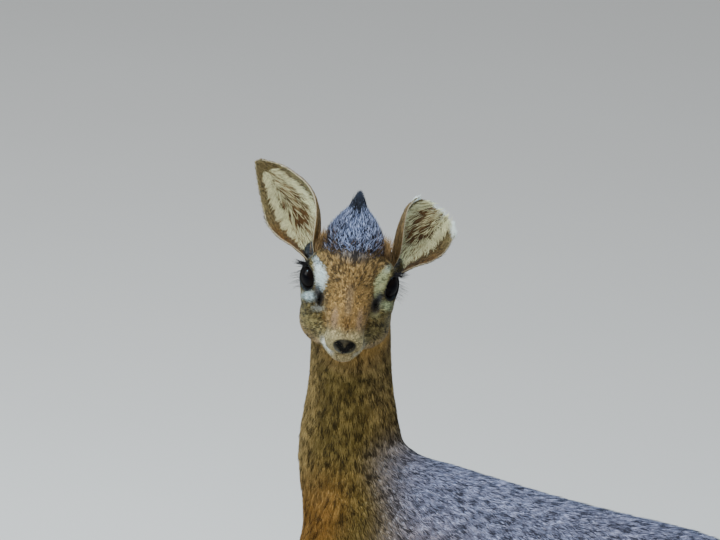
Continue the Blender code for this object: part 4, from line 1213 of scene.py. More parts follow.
@dataclass
class Coat:
    """The tufts over the whole skin, in pieces by zone."""

    skin: bpy.types.Object
    markings: Markings
    lie: Lie
    seed: int = 11
    in_clumps: float = 0.90
    dark_share: float = 0.40
    pale_share: float = 0.30
    pale_lift: tuple = (0.065, 0.055, 0.030)
    zones: tuple = (
        CoatZone("coat_trunk_left", 47000, 0.0080, 0.00115, 0.26, "grizzled_back", 0.0019),
        CoatZone("coat_trunk_right", 47000, 0.0080, 0.00115, 0.26, "grizzled_back", 0.0019),
        CoatZone("coat_neck_upper", 47000, 0.0062, 0.00085, 0.24, "grizzled_back", 0.0015),
        CoatZone("coat_neck_lower", 47000, 0.0070, 0.00090, 0.24, "grizzled_back", 0.0016),
        CoatZone("coat_head", 49000, 0.0032, 0.00072, 0.26, "tawny_coat", 0.0014),
        CoatZone("coat_legs", 46000, 0.0042, 0.00075, 0.20, "tawny_coat", 0.0014),
    )

    def clump(self, points: Array, size: float, face: bool) -> Array:
        """One even draw between 0 and 1 for all the hairs rooted in a cell, so that flecks have a size.

        Cells are size wide and about twice as long: up the face's slope, down the neck and along the trunk.
        The draw is the fractional part of 43758.5 |sin(12.99 i + 78.23 j + 37.72 k)| for cell (i, j, k).
        """
        if face:
            a, b, c = HEAD.local(points).T
            aside = b + 0.3 * size * np.sin(c / size)
            places = np.stack([aside, (c - FACE_SLOPE * a) / 1.7, (a + FACE_SLOPE * c) / 2.2], axis=1)
        else:
            upright = ramp(points[:, 2] - 0.9 * points[:, 1], 0.40, 0.44)[:, None]
            places = points / (upright * (1.0, 1.0, 2.2) + (1.0 - upright) * (1.0, 2.2, 1.0))
        cells = np.floor(places / size)
        return np.modf(np.abs(np.sin(cells @ np.array((12.9898, 78.233, 37.719))) * 43758.5453))[0]

    def zone_of(self, points: Array) -> Array:
        """The number of the zone that each place belongs to."""
        x, y, z = points.T
        ahead, _, above = HEAD.local(points).T
        found = np.where(x > 0, 0, 1)
        neck = (z > 0.338 + 0.9 * (y + 0.09)) & (y < -0.055)
        found[neck & (z > 0.43)] = 2
        found[neck & (z <= 0.43)] = 3
        found[z < 0.20] = 5
        face = (ahead * 0.054 + above * 0.022 > -0.0025) & (above > -0.050 - 0.1 * ahead)
        found[face & (z > 0.44)] = 4
        return found

    def samples(self, zone: int, count: int, random: np.random.Generator) -> tuple[Array, Array]:
        """Places and normals spread evenly over a zone's share of the skin."""
        mesh = self.skin.data
        mesh.calc_loop_triangles()
        corners = np.zeros(len(mesh.loop_triangles) * 3, np.int32)
        mesh.loop_triangles.foreach_get("vertices", corners)
        corners = corners.reshape(-1, 3)
        points, normals = vertex_arrays(self.skin)
        points = points - SHIFT
        middles = points[corners].mean(axis=1)
        a, b, c = (points[corners[:, i]] for i in range(3))
        area = 0.5 * np.linalg.norm(np.cross(b - a, c - a), axis=1)
        weight = area * (self.zone_of(middles) == zone) * self.density(middles)
        chosen = random.choice(len(corners), count, p=weight / weight.sum())
        one, two = random.random(count), random.random(count)
        flip = one + two > 1
        one[flip], two[flip] = 1 - one[flip], 1 - two[flip]
        share = np.stack([1 - one - two, one, two], axis=1)[:, :, None]
        return (points[corners[chosen]] * share).sum(1), unit((normals[corners[chosen]] * share).sum(1))

    def density(self, points: Array) -> Array:
        """How thickly tufts stand: none on the nose, the lids' rims and the edge above the hooves."""
        bare = self.markings.bare(points)
        low = ramp(points[:, 2], 0.0155, 0.018)
        local = HEAD.local(points)
        for side in (1, -1):
            ring, _ = self.markings.eye_ring(local, side)
            bare = np.maximum(bare, 1.0 - ramp(ring, 1.12, 1.24))
        return np.clip(1.0 - 1.6 * bare, 0.0, 1.0) * low

    def scale(self, points: Array) -> Array:
        """The hair's length against its zone's: short on the muzzle, by the eyes and on the feet."""
        local = HEAD.local(points)
        face = 1.0 - 0.55 * ramp(local[:, 0], 0.005, 0.050)
        near_head = np.linalg.norm(local, axis=1) < 0.085
        found = np.where(near_head, face, 1.0)
        for side in (1, -1):
            ring, _ = self.markings.eye_ring(local, side)
            found *= 0.55 + 0.45 * ramp(ring, 1.2, 2.0)
        _, u, v = face_place(local)
        crown = ramp(v - 0.33 * u**2, 0.8, 2.0) * ramp(local[:, 0], -0.020, -0.005)
        found *= 1.0 + 0.7 * near_head * crown
        return found * (0.6 + 0.4 * ramp(points[:, 2], 0.03, 0.15))

    def build_zone(self, number: int, zone: CoatZone, hair: bpy.types.Material) -> bpy.types.Object:
        """One piece of coat."""
        random = np.random.default_rng(self.seed + number)
        roots, normals = self.samples(number, zone.count, random)
        flow = self.lie.at(roots, normals)
        side = unit(np.cross(flow, normals))
        stray = random.normal(0.0, zone.jitter, zone.count)[:, None]
        flow = unit(flow + side * stray)
        side = unit(np.cross(flow, normals))
        lift = zone.lift * (0.75 + 0.6 * random.random(zone.count))[:, None]
        ways = unit(flow * np.cos(lift) + normals * np.sin(lift))
        lengths = zone.length * self.scale(roots) * (0.75 + 0.5 * random.random(zone.count))
        widths = zone.width * (0.8 + 0.4 * random.random(zone.count)) * np.sqrt(self.scale(roots))
        strewn = zone.width * 1.2 * random.normal(size=(zone.count, 3))
        colour, speck = self.markings.coat(roots + ways * lengths[:, None] * 0.4 + strewn, normals)
        shared = self.clump(roots, zone.clump, zone.name == "coat_head")
        draw = np.where(random.random(zone.count) < self.in_clumps, shared, random.random(zone.count))
        tone = (0.82 + 0.36 * random.random(zone.count))[:, None]
        tips = colour * tone
        dark = draw < self.dark_share * speck
        pale = draw > 1.0 - self.pale_share * speck
        tips[dark] = colour[dark] * 0.16
        tips[pale] = colour[pale] * 1.65 + np.array(self.pale_lift)
        base = colour * (0.62 - 0.12 * speck[:, None])
        base[dark] = colour[dark] * 0.26
        base[pale] = colour[pale] * 0.95
        bends = -normals * 0.06 + side * random.normal(0.0, 0.05, zone.count)[:, None]
        sink = normals * np.minimum(0.0006, 0.05 * lengths)[:, None]
        tips = np.clip(tips, 0.004, 0.85)
        patches = self.lie.unwrap(roots)
        strands = Strands(roots - sink, ways, bends, side, lengths, widths, base, tips, patches)
        return finished(strands.build(zone.name), hair, zone.slot)


# Ears

@dataclass(frozen=True)
class EarPalette:
    """The ear's colours in linear light."""

    back: tuple = (0.150, 0.100, 0.042)
    cup: tuple = (0.24, 0.185, 0.100)
    streak: tuple = (0.110, 0.062, 0.028)
    band: tuple = (0.175, 0.140, 0.062)
    band_edge: tuple = (0.075, 0.052, 0.024)
    duct: tuple = (0.030, 0.031, 0.040)
    duct_edge: tuple = (0.040, 0.041, 0.050)
    outer: tuple = (0.150, 0.080, 0.026)
    rim: tuple = (0.50, 0.45, 0.32)
    torn_hair: tuple = (0.86, 0.92, 0.84)
    lock_root: tuple = (0.50, 0.48, 0.28)
    lock_tip: tuple = (0.95, 0.97, 0.62)
    tuft: tuple = (0.34, 0.22, 0.10)


@dataclass
class Ear:
    """One cupped ear. side is 1 for the left one, which is torn short and flares more."""

    side: int
    root: tuple
    lean: tuple
    length: float = 0.0785
    sink: float = 0.007
    rows: int = 72
    columns: int = 64
    palette: EarPalette = field(default_factory=EarPalette)

    def axes(self) -> tuple[Array, Array, Array, Array]:
        """The root, the inward way, the way along the ear and the way the cup faces."""
        root = HEAD.world(np.array(self.root))
        along = unit(HEAD.way(np.array(self.lean)))
        face = HEAD.way(unit(np.array((0.80, self.side * 0.30, 0.10))))
        face = unit(face - along * (face @ along))
        inwards = unit(np.cross(along, face))
        if (inwards @ HEAD.axes()[1]) * self.side > 0:
            inwards = -inwards
        return root, inwards, along, face

    @property
    def torn(self) -> bool:
        """Whether this is the torn ear."""
        return self.side > 0

    def share(self, s: Array, t: Array) -> Array:
        """The share of the whole ear's length at grid share s and place across t, uneven if torn."""
        end = np.ones_like(t)
        if self.torn:
            end = np.interp(t, *np.array(EAR_TORN).T) + 0.005 * np.sin(17.0 * t) + 0.003 * np.sin(53.0 * t)
        return s * end

    def sheet(self, s: Array, t: Array) -> tuple[Array, Array, Array]:
        """The cup's middle sheet.

        Across it is an arc of half angle curl, (118 (1 - q)^1.5 + 34) degrees at share q along, and of
        radius half width / sin(curl), with the half width a smooth curve through EAR_EDGES on either side.

        Args:
            s: share of the way along what is left of the ear.
            t: place across, from -1 at the outer edge to 1 at the inner edge.

        Returns:
            The places in the body's frame, the normals towards the cup's opening, and the share along.
        """
        root, inwards, along, face = self.axes()
        q = self.share(s, t)
        edges = smooth_stations(EAR_EDGES, 65)
        places = np.linspace(0.0, 1.0, 65)
        flare = 1.0 + EAR_FLARE[self.side] * np.clip((q - 0.18) / 0.34, 0.0, 1.0)
        half = np.where(t > 0, flare * np.interp(q, places, edges[:, 0]), np.interp(q, places, edges[:, 1]))
        curl = math.radians(118.0) * (1.0 - np.clip(q, 0, 1)) ** 1.5 + math.radians(34.0)
        angle = t * curl
        radius = half / np.maximum(np.sin(np.minimum(curl, math.pi / 2)), 0.35)
        place_in = radius * np.sin(angle)
        place_face = radius * (1.0 - np.cos(angle)) - 0.0095 * np.sin(math.pi * q)
        place_along = -self.sink + (self.length + self.sink) * q
        points = root + place_in[..., None] * inwards + place_along[..., None] * along
        points = points + place_face[..., None] * face
        normals = -np.sin(angle)[..., None] * inwards + np.cos(angle)[..., None] * face
        return points, normals, q

    def streaks(self, q: Array, t: Array) -> Array:
        """1 along the brown lines that fan from the bottom of the cup to four fifths of its length."""
        fans = ((-0.10, -0.85), (0.0, -0.15), (0.12, 0.75))
        lines = np.minimum.reduce([np.abs(t - at - fan * (q - 0.36)) for at, fan in fans])
        return (1.0 - ramp(lines, 0.05, 0.13)) * ramp(q, 0.24, 0.36) * (1.0 - ramp(q, 0.72, 0.84))

    def border(self, q: Array, t: Array) -> Array:
        """1 on the short-haired band inside the rim, which is widest at the tip of a whole ear."""
        return np.maximum(ramp(np.abs(t), 0.60, 0.70), 0.0 if self.torn else ramp(q, 0.80, 0.87))

    def colours(self, q: Array, t: Array, front: bool) -> Array:
        """The ear's colours: brown behind; inside, buff with brown lines, a brown band and a pale rim."""
        p = self.palette
        if not front:
            return np.array(p.back) * (0.9 + 0.2 * np.sin(31 * t + 9 * q)[..., None])
        across, border = np.abs(t), self.border(q, t)
        layers = Layers(np.ones((*t.shape, 3)) * p.cup, np.zeros(t.shape))
        layers.mix(self.streaks(q, t), p.streak)
        layers.mix(border, p.band)
        edge = ramp(across, 0.54, 0.62) * (1.0 - ramp(across, 0.66, 0.76))
        layers.mix(0.6 * edge * ramp(q, 0.1, 0.25), p.band_edge)
        layers.mix(1.0 - ramp(q, 0.15, 0.25), p.duct)
        layers.mix((1.0 - ramp(q, 0.24, 0.36)) * border, p.duct_edge)
        layers.mix(ramp(-t, 0.45, 0.9) * (1.0 - ramp(q, 0.35, 0.60)) * ramp(q, 0.08, 0.16), p.outer)
        layers.mix(ramp(across, 0.965, 1.0), p.rim)
        return layers.colour

    def build(self, finish: bpy.types.Material) -> bpy.types.Object:
        """The closed shell: the sheet's faces, 0.9 mm to either side at the root and 0.5 mm at the rim."""
        s, t = np.meshgrid(np.linspace(0, 1, self.rows), np.linspace(-1, 1, self.columns), indexing="ij")
        points, normals, q = self.sheet(s, t)
        thick = 0.0009 - 0.0004 * np.maximum(q, np.abs(t) ** 3)
        ripple = 0.00015 * np.sin(90.0 * t) * np.sin(math.pi * np.clip(q, 0, 1))
        ridge = ripple - 0.0005 * self.streaks(q, t)
        front = points + normals * (thick + ridge)[..., None]
        back = points - normals * thick[..., None]
        count = self.rows * self.columns
        quads = grid_faces(self.rows, self.columns, closed=False)
        rim = np.concatenate([
            np.arange(self.columns),
            np.arange(1, self.rows) * self.columns + self.columns - 1,
            (self.rows - 1) * self.columns + np.arange(self.columns - 2, -1, -1),
            np.arange(self.rows - 2, 0, -1) * self.columns,
        ])
        after = np.roll(rim, -1)
        wall = np.stack([rim, after, after + count, rim + count], axis=1)
        faces = np.vstack([quads, quads[:, ::-1] + count, wall[:, ::-1]])
        inward = np.cross(front[1, 0] - front[0, 0], front[0, 1] - front[0, 0]) @ normals[0, 0] > 0
        both = np.vstack([front.reshape(-1, 3), back.reshape(-1, 3)])
        made = new_mesh(self.name(), both + SHIFT, faces[:, ::-1] if inward else faces)
        colours = [self.colours(q, t, inner).reshape(-1, 3) for inner in (True, False)]
        paint(made, "coat", np.vstack(colours))
        paint(made, "bare", np.zeros((2 * count, 3)))
        return finished(made, finish, "ear_skin", "ear_" + side_name(self.side))

    def name(self) -> str:
        """The ear's name by its side."""
        return side_name(self.side) + ("_ear_torn" if self.torn else "_ear_whole")

    def lies(self, s: Array, t: Array) -> tuple[Array, Array, Array, Array, Array]:
        """Places on the sheet with their ways along and across it, their normals and their share along."""
        points, normals, q = self.sheet(s, t)
        nearby, _, _ = self.sheet(np.where(s > 0.97, s - 0.02, s + 0.02), t)
        beside, _, _ = self.sheet(s, np.where(t > 0.97, t - 0.02, t + 0.02))
        along = unit(nearby - points) * np.where(s > 0.97, -1.0, 1.0)[:, None]
        across = unit(beside - points) * np.where(t > 0.97, -1.0, 1.0)[:, None]
        return points, along, across, normals, q

    def short_hairs(self, finish: bpy.types.Material) -> bpy.types.Object:
        """Short grizzled hair on the whole back, on the band inside the rim and thinly in the cup."""
        random = np.random.default_rng(40 + self.side)
        count = 12000
        inside = random.random(count) < 0.5
        s, t = random.random(count) ** 0.8, random.uniform(-0.99, 0.99, count)
        on_band = inside & (random.random(count) < 0.7)
        t = np.where(on_band, np.sign(t) * random.uniform(0.58, 0.98, count), t)
        if not self.torn:
            on_tip = inside & (random.random(count) < 0.25)
            s = np.where(on_tip, random.uniform(0.80, 0.99, count), s)
            t = np.where(on_tip, random.uniform(-1, 1, count), t)
        points, along, across, normals, q = self.lies(s, t)
        outwards = np.where(inside[:, None], normals, -normals)
        flow = unit(along + across * (0.35 * t + random.normal(0, 0.3, count))[:, None])
        lift = (0.16 + 0.16 * random.random(count))[:, None]
        ways = unit(flow * np.cos(lift) + outwards * np.sin(lift))
        lengths = 0.0024 + 0.0016 * random.random(count)
        lengths *= 0.45 + 0.55 * np.sin(math.pi * np.clip(s, 0.06, 0.93))
        ground = np.where(inside[:, None], self.colours(q, t, True), self.colours(q, t, False))
        kind = random.random(count)[:, None]
        tips = ground * np.where(kind < 0.42, 0.30, np.where(kind > 0.70, 1.9, 1.1)) + 0.010
        torn_edge = ramp(s, 0.90, 0.96) * self.torn * (np.sin(t * 7.0 + 0.6) > -0.3)
        torn_edge *= random.random(count) < 0.85
        tips = tips * (1 - torn_edge[:, None]) + np.array(self.palette.torn_hair) * torn_edge[:, None]
        lengths *= 1.0 + 1.2 * torn_edge
        widths = 0.00060 * (0.8 + 0.4 * random.random(count))
        bends = across * random.normal(0, 0.08, count)[:, None]
        sides = unit(np.cross(ways, outwards))
        patches = np.stack([0.05 + 0.9 * s, 0.25 + 0.2 * t + 0.5 * (~inside)], axis=1)
        points = points + outwards * 0.0004
        strands = Strands(points, ways, bends, sides, lengths, widths, tips * 0.6, tips, patches)
        return finished(strands.build(self.name() + "_short_hair"), finish, "ear_skin")

    def fringe(self, finish: bpy.types.Material) -> bpy.types.Object:
        """The long cream locks in the cup, from the band to the middle, thin over the brown lines."""
        random = np.random.default_rng(50 + self.side)
        count = 5200
        s = random.uniform(0.14, 0.99, count) if self.torn else random.uniform(0.12, 0.86, count)
        from_edge = random.random(count) < 0.60
        edge = np.sign(random.random(count) - 0.45) * random.normal(0.60, 0.06, count)
        t = np.where(from_edge, edge, random.uniform(-0.5, 0.5, count))
        points, along, across, normals, q = self.lies(s, t)
        bare = (self.streaks(q, t) > 0.35) & (random.random(count) < 0.72)
        wave = np.sin(q * 61.0 + 5.0 * np.sin(t * 9.0 + 2.0 * self.side))
        wave += 0.5 * np.sin(q * 133.0 + t * 11.0)
        keep = ~bare & (random.random(count) < 0.45 + 0.45 * wave)
        points, along, across, normals = (value[keep] for value in (points, along, across, normals))
        s, t, q, from_edge = s[keep], t[keep], q[keep], from_edge[keep]
        count = len(s)
        inwards = -np.sign(t) * np.where(from_edge, 1.0, 0.25)
        rise = np.where(from_edge, 0.30 + 0.25 * np.sin(q * 23.0), 0.9) + random.normal(0, 0.16, count)
        flow = unit(along * rise[:, None] + across * (inwards + random.normal(0, 0.16, count))[:, None])
        lift = (0.16 + 0.22 * random.random(count))[:, None]
        ways = unit(flow * np.cos(lift) + normals * np.sin(lift))
        lengths = 0.0062 + 0.0036 * random.random(count)
        lengths *= 0.55 + 0.45 * np.sin(math.pi * np.clip(q, 0.1, 0.9))
        lengths *= np.where(from_edge, 1.0, 0.72)
        shade = (0.62 + 0.5 * random.random(count))[:, None]
        tips = np.array(self.palette.lock_tip) * shade
        base = np.array(self.palette.lock_root) * shade
        widths = 0.00068 * (0.7 + 0.6 * random.random(count))
        bends = -normals * 0.12 + along * 0.16 + across * random.normal(0, 0.06, count)[:, None]
        sides = unit(np.cross(ways, normals))
        patches = np.stack([0.05 + 0.9 * s, 0.25 + 0.2 * t], axis=1)
        points = points + normals * 0.0005
        strands = Strands(points, ways, bends, sides, lengths, widths, base, tips, patches, 3)
        return finished(strands.build(self.name() + "_fringe"), finish, "ear_skin")

    def base_tuft(self, finish: bpy.types.Material) -> bpy.types.Object:
        """The soft buff tuft between the ear's root and the crest, whose hairs stand and fan out."""
        random = np.random.default_rng(60 + self.side)
        count = 700
        spread = random.normal(size=(count, 3)) * (0.0024, 0.0026, 0.0030)
        local = np.array((-0.0150, self.side * 0.0222, 0.0150)) + spread
        aim = np.array((-0.10, -self.side * 0.16, 1.0)) + 0.16 * random.normal(size=(count, 3))
        ways = HEAD.way(unit(aim))
        sides = unit(np.cross(ways, HEAD.axes()[0]))
        lengths = 0.0075 + 0.0045 * random.random(count)
        shade = random.random(count)[:, None]
        tips = np.array(self.palette.tuft) * (0.35 + 1.0 * shade)
        bends = HEAD.way(np.array((-0.10, self.side * 0.10, 0.0)) * np.ones((count, 1)))
        patches = np.stack([0.1 + 0.8 * random.random(count), 0.1 + 0.8 * shade[:, 0]], axis=1)
        widths = 0.00048 * (0.8 + 0.4 * random.random(count))
        roots = HEAD.world(local)
        strands = Strands(roots, ways, bends, sides, lengths, widths, tips * 0.5, tips, patches, 2)
        return finished(strands.build(self.name() + "_base_tuft"), finish, "tawny_coat")


# Eyes

@dataclass
class Eye:
    """One eyeball with a clear bulge in front, dark brown with a level dark pupil."""

    side: int
    flesh: Flesh
    radius: float = 0.01195
    swell: float = 0.02
    iris: tuple = (0.0035, 0.0020, 0.0016)
    pupil: tuple = (0.001, 0.001, 0.002)
    white: tuple = (0.006, 0.004, 0.004)
    lash: tuple = (0.008, 0.007, 0.008)

    def build(self) -> bpy.types.Object:
        """A ball whose radius swells in front: R (1 + swell exp(-(angle / 0.6)^2))."""
        out, long, short = self.flesh.eye_frame(self.side)
        rings, steps = 48, 64
        turns = np.linspace(0, 2 * math.pi, steps, endpoint=False)
        angle, turn = np.meshgrid(np.linspace(0, math.pi, rings), turns, indexing="ij")
        radius = self.radius * (1 + self.swell * np.exp(-((angle / 0.6) ** 2)))
        local = radius[..., None] * (
            np.cos(angle)[..., None] * out
            + (np.sin(angle) * np.cos(turn))[..., None] * long
            + (np.sin(angle) * np.sin(turn))[..., None] * short
        )
        points = HEAD.world(local.reshape(-1, 3) + self.flesh.eye_centre(self.side)) + SHIFT
        faces = grid_faces(rings, steps, closed=True)
        if self.side < 0:
            faces = faces[:, ::-1]
        made = new_mesh(side_name(self.side) + "_eyeball", points, faces)
        across, above = np.sin(angle) * np.cos(turn), np.sin(angle) * np.sin(turn)
        iris = np.array(self.iris) * (0.7 + 0.5 * np.sin(turn * 23)[..., None] ** 2)
        layers = Layers(iris, np.zeros(turn.shape))
        layers.mix(np.exp(-((across / 0.42) ** 4) - (above / 0.26) ** 4), self.pupil)
        layers.mix(ramp(angle, 0.95, 1.1), self.white)
        paint(made, "coat", layers.colour.reshape(-1, 3))
        return finished(made, self.finish(), "eye_gloss", "eye_" + side_name(self.side))

    def finish(self) -> bpy.types.Material:
        """The eye's painted iris under a wet clear layer."""
        nodes = Nodes("wet_eye_" + side_name(self.side))
        colour = nodes.add("ShaderNodeAttribute", attribute_name="coat")
        nodes.link(colour.outputs["Color"], nodes.shader.inputs["Base Color"])
        nodes.gloss(Roughness=0.4, Specular_IOR_Level=0.01, Coat_Weight=0.08, Coat_Roughness=0.02)
        return nodes.material

    def lashes(self, hair: bpy.types.Material) -> bpy.types.Object:
        """Lashes: a row on the upper lid, a thick tuft at its back corner, and a few fine ones below.

        A lash's root stands on the opening's oval at angle w, and it leans out along the lid's own radius.
        """
        random = np.random.default_rng(70 + self.side)
        out, long, short = self.flesh.eye_frame(self.side)
        wide, high = self.flesh.eye_opening_size
        upper, corner, lower = 46, 48, 34
        turn = np.concatenate([
            np.linspace(0.30, 3.00, upper) + random.normal(0, 0.02, upper),
            random.normal(2.30, 0.17, corner),
            np.linspace(3.3, 4.9, lower) + random.normal(0, 0.05, lower),
        ])
        count = len(turn)
        number = np.arange(count)
        is_lower = number >= upper + corner
        is_corner = (number >= upper) & ~is_lower
        radius = self.flesh.eye_radius + self.flesh.lid_thick
        spread = 1.04 + np.where(is_corner, 0.24, 0.12) * random.random(count)
        a, b = wide * spread * np.cos(turn), high * spread * np.sin(turn)
        depth = np.sqrt(np.maximum(radius**2 - a**2 - b**2, 1e-8))
        local = depth[:, None] * out + a[:, None] * long + b[:, None] * short
        outward = unit(local)
        radial = unit(a[:, None] * long / wide + b[:, None] * short / high)
        rear = ramp(-np.cos(turn), -0.4, 0.8)
        aim = outward * 0.70 + radial * 0.60 - long * (0.45 * rear)[:, None]
        aim = np.where(is_corner[:, None], np.array((0.12, self.side * 0.97, 0.0)), aim)
        aim = np.where(is_lower[:, None], np.array((0.10, self.side * 0.90, -0.22)), aim)
        ways = unit(aim + 0.15 * random.normal(size=(count, 3)))
        lengths = np.where(is_lower, 0.0045 + 0.0050 * random.random(count), 0.0028 + 0.0030 * rear)
        lengths = np.where(is_corner, 0.0070 + 0.0060 * random.random(count), lengths)
        bends = short * np.where(is_lower, -0.20, 0.14)[:, None]
        roots = HEAD.world(local + self.flesh.eye_centre(self.side) - outward * 0.0010)
        dark = np.tile(self.lash, (count, 1))
        widths = np.where(is_lower, 0.00022, np.where(is_corner, 0.00046, 0.00034))
        ways_world = HEAD.way(ways)
        sides = unit(np.cross(ways_world, HEAD.way(outward)))
        patches = np.stack([0.1 + 0.8 * turn / 6.3, np.full(count, 0.5)], axis=1)
        bends = HEAD.way(bends)
        strands = Strands(roots, ways_world, bends, sides, lengths, widths, dark, dark, patches, 4, 0.9)
        return finished(strands.build(side_name(self.side) + "_lashes"), hair, "crest_hair")


# Crest

@dataclass
class Crest:
    """The erect tuft on the crown: bending hairs that lie up a pointed mound and close at its tip, with a
    painted blue sky sheen on its pale and grey hairs.
    """

    count: int = 9000
    root: tuple = (-0.011, 0.0, 0.018)
    tip: tuple = (-0.0266, 0.0, 0.0590)
    under: float = 0.0022
    # Pale and slate hair tips: grizzled pale and grey hair carrying a painted blue sky sheen.
    pale: tuple = (0.56, 0.66, 0.98)
    slate: tuple = (0.150, 0.190, 0.330)
    black: tuple = (0.016, 0.018, 0.030)
    soot: tuple = (0.020, 0.020, 0.026)
    spire: tuple = (0.020, 0.026, 0.042)
    end: tuple = (0.022, 0.027, 0.042)
    brown: tuple = (0.215, 0.128, 0.052)
    core: tuple = (0.040, 0.042, 0.055)

    def place(self, height: Array, turn: Array, inset: Array) -> Array:
        """A place on the mound: middle line + (radius(height) - inset) (cos turn, sin turn), at that height.

        The middle line runs straight from root to tip, and the radius is interpolated along CREST_OUTLINE.
        """
        share = (height - self.root[2]) / (self.tip[2] - self.root[2])
        heights, radii = np.array(CREST_OUTLINE).T
        radius = np.maximum(np.interp(height, heights, radii) - inset, 0.0002)
        ahead = self.root[0] + (self.tip[0] - self.root[0]) * share + radius * np.cos(turn)
        return np.stack([ahead, radius * np.sin(turn), height], axis=-1)

    def mound(self, finish: bpy.types.Material) -> bpy.types.Object:
        """The dense hair under the outer ones: the mound's outline set in, closed at its tip and base."""
        rows, columns = 40, 64
        low = self.root[2] - 0.007
        turns = np.linspace(0, 2 * math.pi, columns, endpoint=False)
        height, turn = np.meshgrid(np.linspace(low, self.tip[2] - 0.007, rows), turns, indexing="ij")
        inset = self.under + 0.0004 * np.sin(turn * 16) * np.sin(height * 900.0)
        points = self.place(height, turn, inset)
        ends = np.array([points[0].mean(axis=0), points[-1].mean(axis=0)])
        count = rows * columns
        ring = np.arange(columns)
        after = np.roll(ring, -1)
        last = count - columns
        quads = grid_faces(rows, columns, closed=True)
        caps = np.vstack([
            np.stack([after, ring, np.full(columns, count)], axis=1),
            np.stack([last + ring, last + after, np.full(columns, count + 1)], axis=1),
        ])
        sides = np.vstack([quads[:, [0, 1, 2]], quads[:, [0, 2, 3]]])
        local = np.vstack([points.reshape(-1, 3), ends])
        made = new_mesh("crown_crest_mound", HEAD.world(local) + SHIFT, np.vstack([sides, caps]))
        paint(made, "coat", np.tile(self.core, (len(local), 1)))
        paint(made, "bare", np.zeros((len(local), 3)))
        return finished(made, finish, "crest_hair", "crest")

    def build(self, hair: bpy.types.Material) -> bpy.types.Object:
        """The outer hairs: each leaves its root outwards and bends to follow the mound towards the tip."""
        random = np.random.default_rng(3)
        draw = random.random(self.count)
        low = self.root[2] - 0.0015 + (self.tip[2] - self.root[2] - 0.0060) * draw**1.45
        turn = random.uniform(0, 2 * math.pi, self.count)
        spire = random.random(self.count) < 0.05
        low = np.where(spire, random.uniform(0.043, 0.052, self.count), low)
        rise = np.where(spire, 0.012, 0.0028 + 0.0030 * random.random(self.count))
        high = np.minimum(low + rise, self.tip[2] - 0.0015 + 0.0022 * random.random(self.count))
        roots = self.place(low, turn, np.full(self.count, self.under + 0.0004))
        end_turn = turn + random.normal(0, 0.15, self.count)
        ends = self.place(high, end_turn, 0.0009 * random.normal(size=self.count) - 0.0003)
        reach = ends - roots
        lengths = np.linalg.norm(reach, axis=1)
        outwards = np.stack([np.cos(turn), np.sin(turn), np.zeros(self.count)], axis=1)
        ways = unit(reach / lengths[:, None] + outwards * (0.22 + 0.26 * random.random(self.count))[:, None])
        bends = reach / lengths[:, None] - ways
        world_ways, world_bends = HEAD.way(ways), HEAD.way(bends)
        sides = unit(np.cross(world_ways, HEAD.way(outwards)))
        kind = random.random(self.count)
        # The spiral sets streaks in the painted blue sky sheen.
        spiral = np.sin(low * 1900.0 + 3.0 * np.sin(turn * 7.0)) * np.sin(turn * 19.0 + low * 700.0)
        kind = np.clip(kind + 0.16 * spiral, 0.0, 0.999)
        # Pale and slate tips: grizzled hair with a painted blue sky sheen.
        sky_sheen_tips = np.where((kind > 0.58)[:, None], self.pale, self.slate)
        tips = np.where((kind < 0.32)[:, None], self.black, sky_sheen_tips)
        tips = tips * (0.7 + 0.5 * random.random(self.count))[:, None]
        tips[spire & (random.random(self.count) < 0.85)] = self.spire
        tips[high > self.tip[2] - 0.0035] = self.end
        level = roots[:, 2] - 15.0 * roots[:, 1] ** 2 + 0.0030 * random.normal(size=self.count)
        darker = (random.random(self.count) < 0.55 * (1.0 - ramp(level, 0.0200, 0.0310))) & (kind > 0.32)
        tips[darker] = self.soot
        browner = (1.0 - ramp(level, 0.0185, 0.0280)) * np.where(kind < 0.32, 0.25, 0.90)
        brown = ~darker & (random.random(self.count) < browner)
        tips[brown] = np.array(self.brown) * (0.5 + 0.8 * random.random((int(brown.sum()), 1)))
        patches = 0.5 + 0.45 * (1 - draw)[:, None] * outwards[:, :2]
        widths = np.where(spire, 0.00050, 0.00074) * (0.7 + 0.6 * random.random(self.count))
        base = tips * 0.22 + 0.006
        roots = HEAD.world(roots)
        ways, bends = world_ways, world_bends
        strands = Strands(roots, ways, bends, sides, lengths, widths, base, tips, patches, 3, banding=1.8)
        return finished(strands.build("crown_crest_hair"), hair, "crest_hair")


# The whole animal

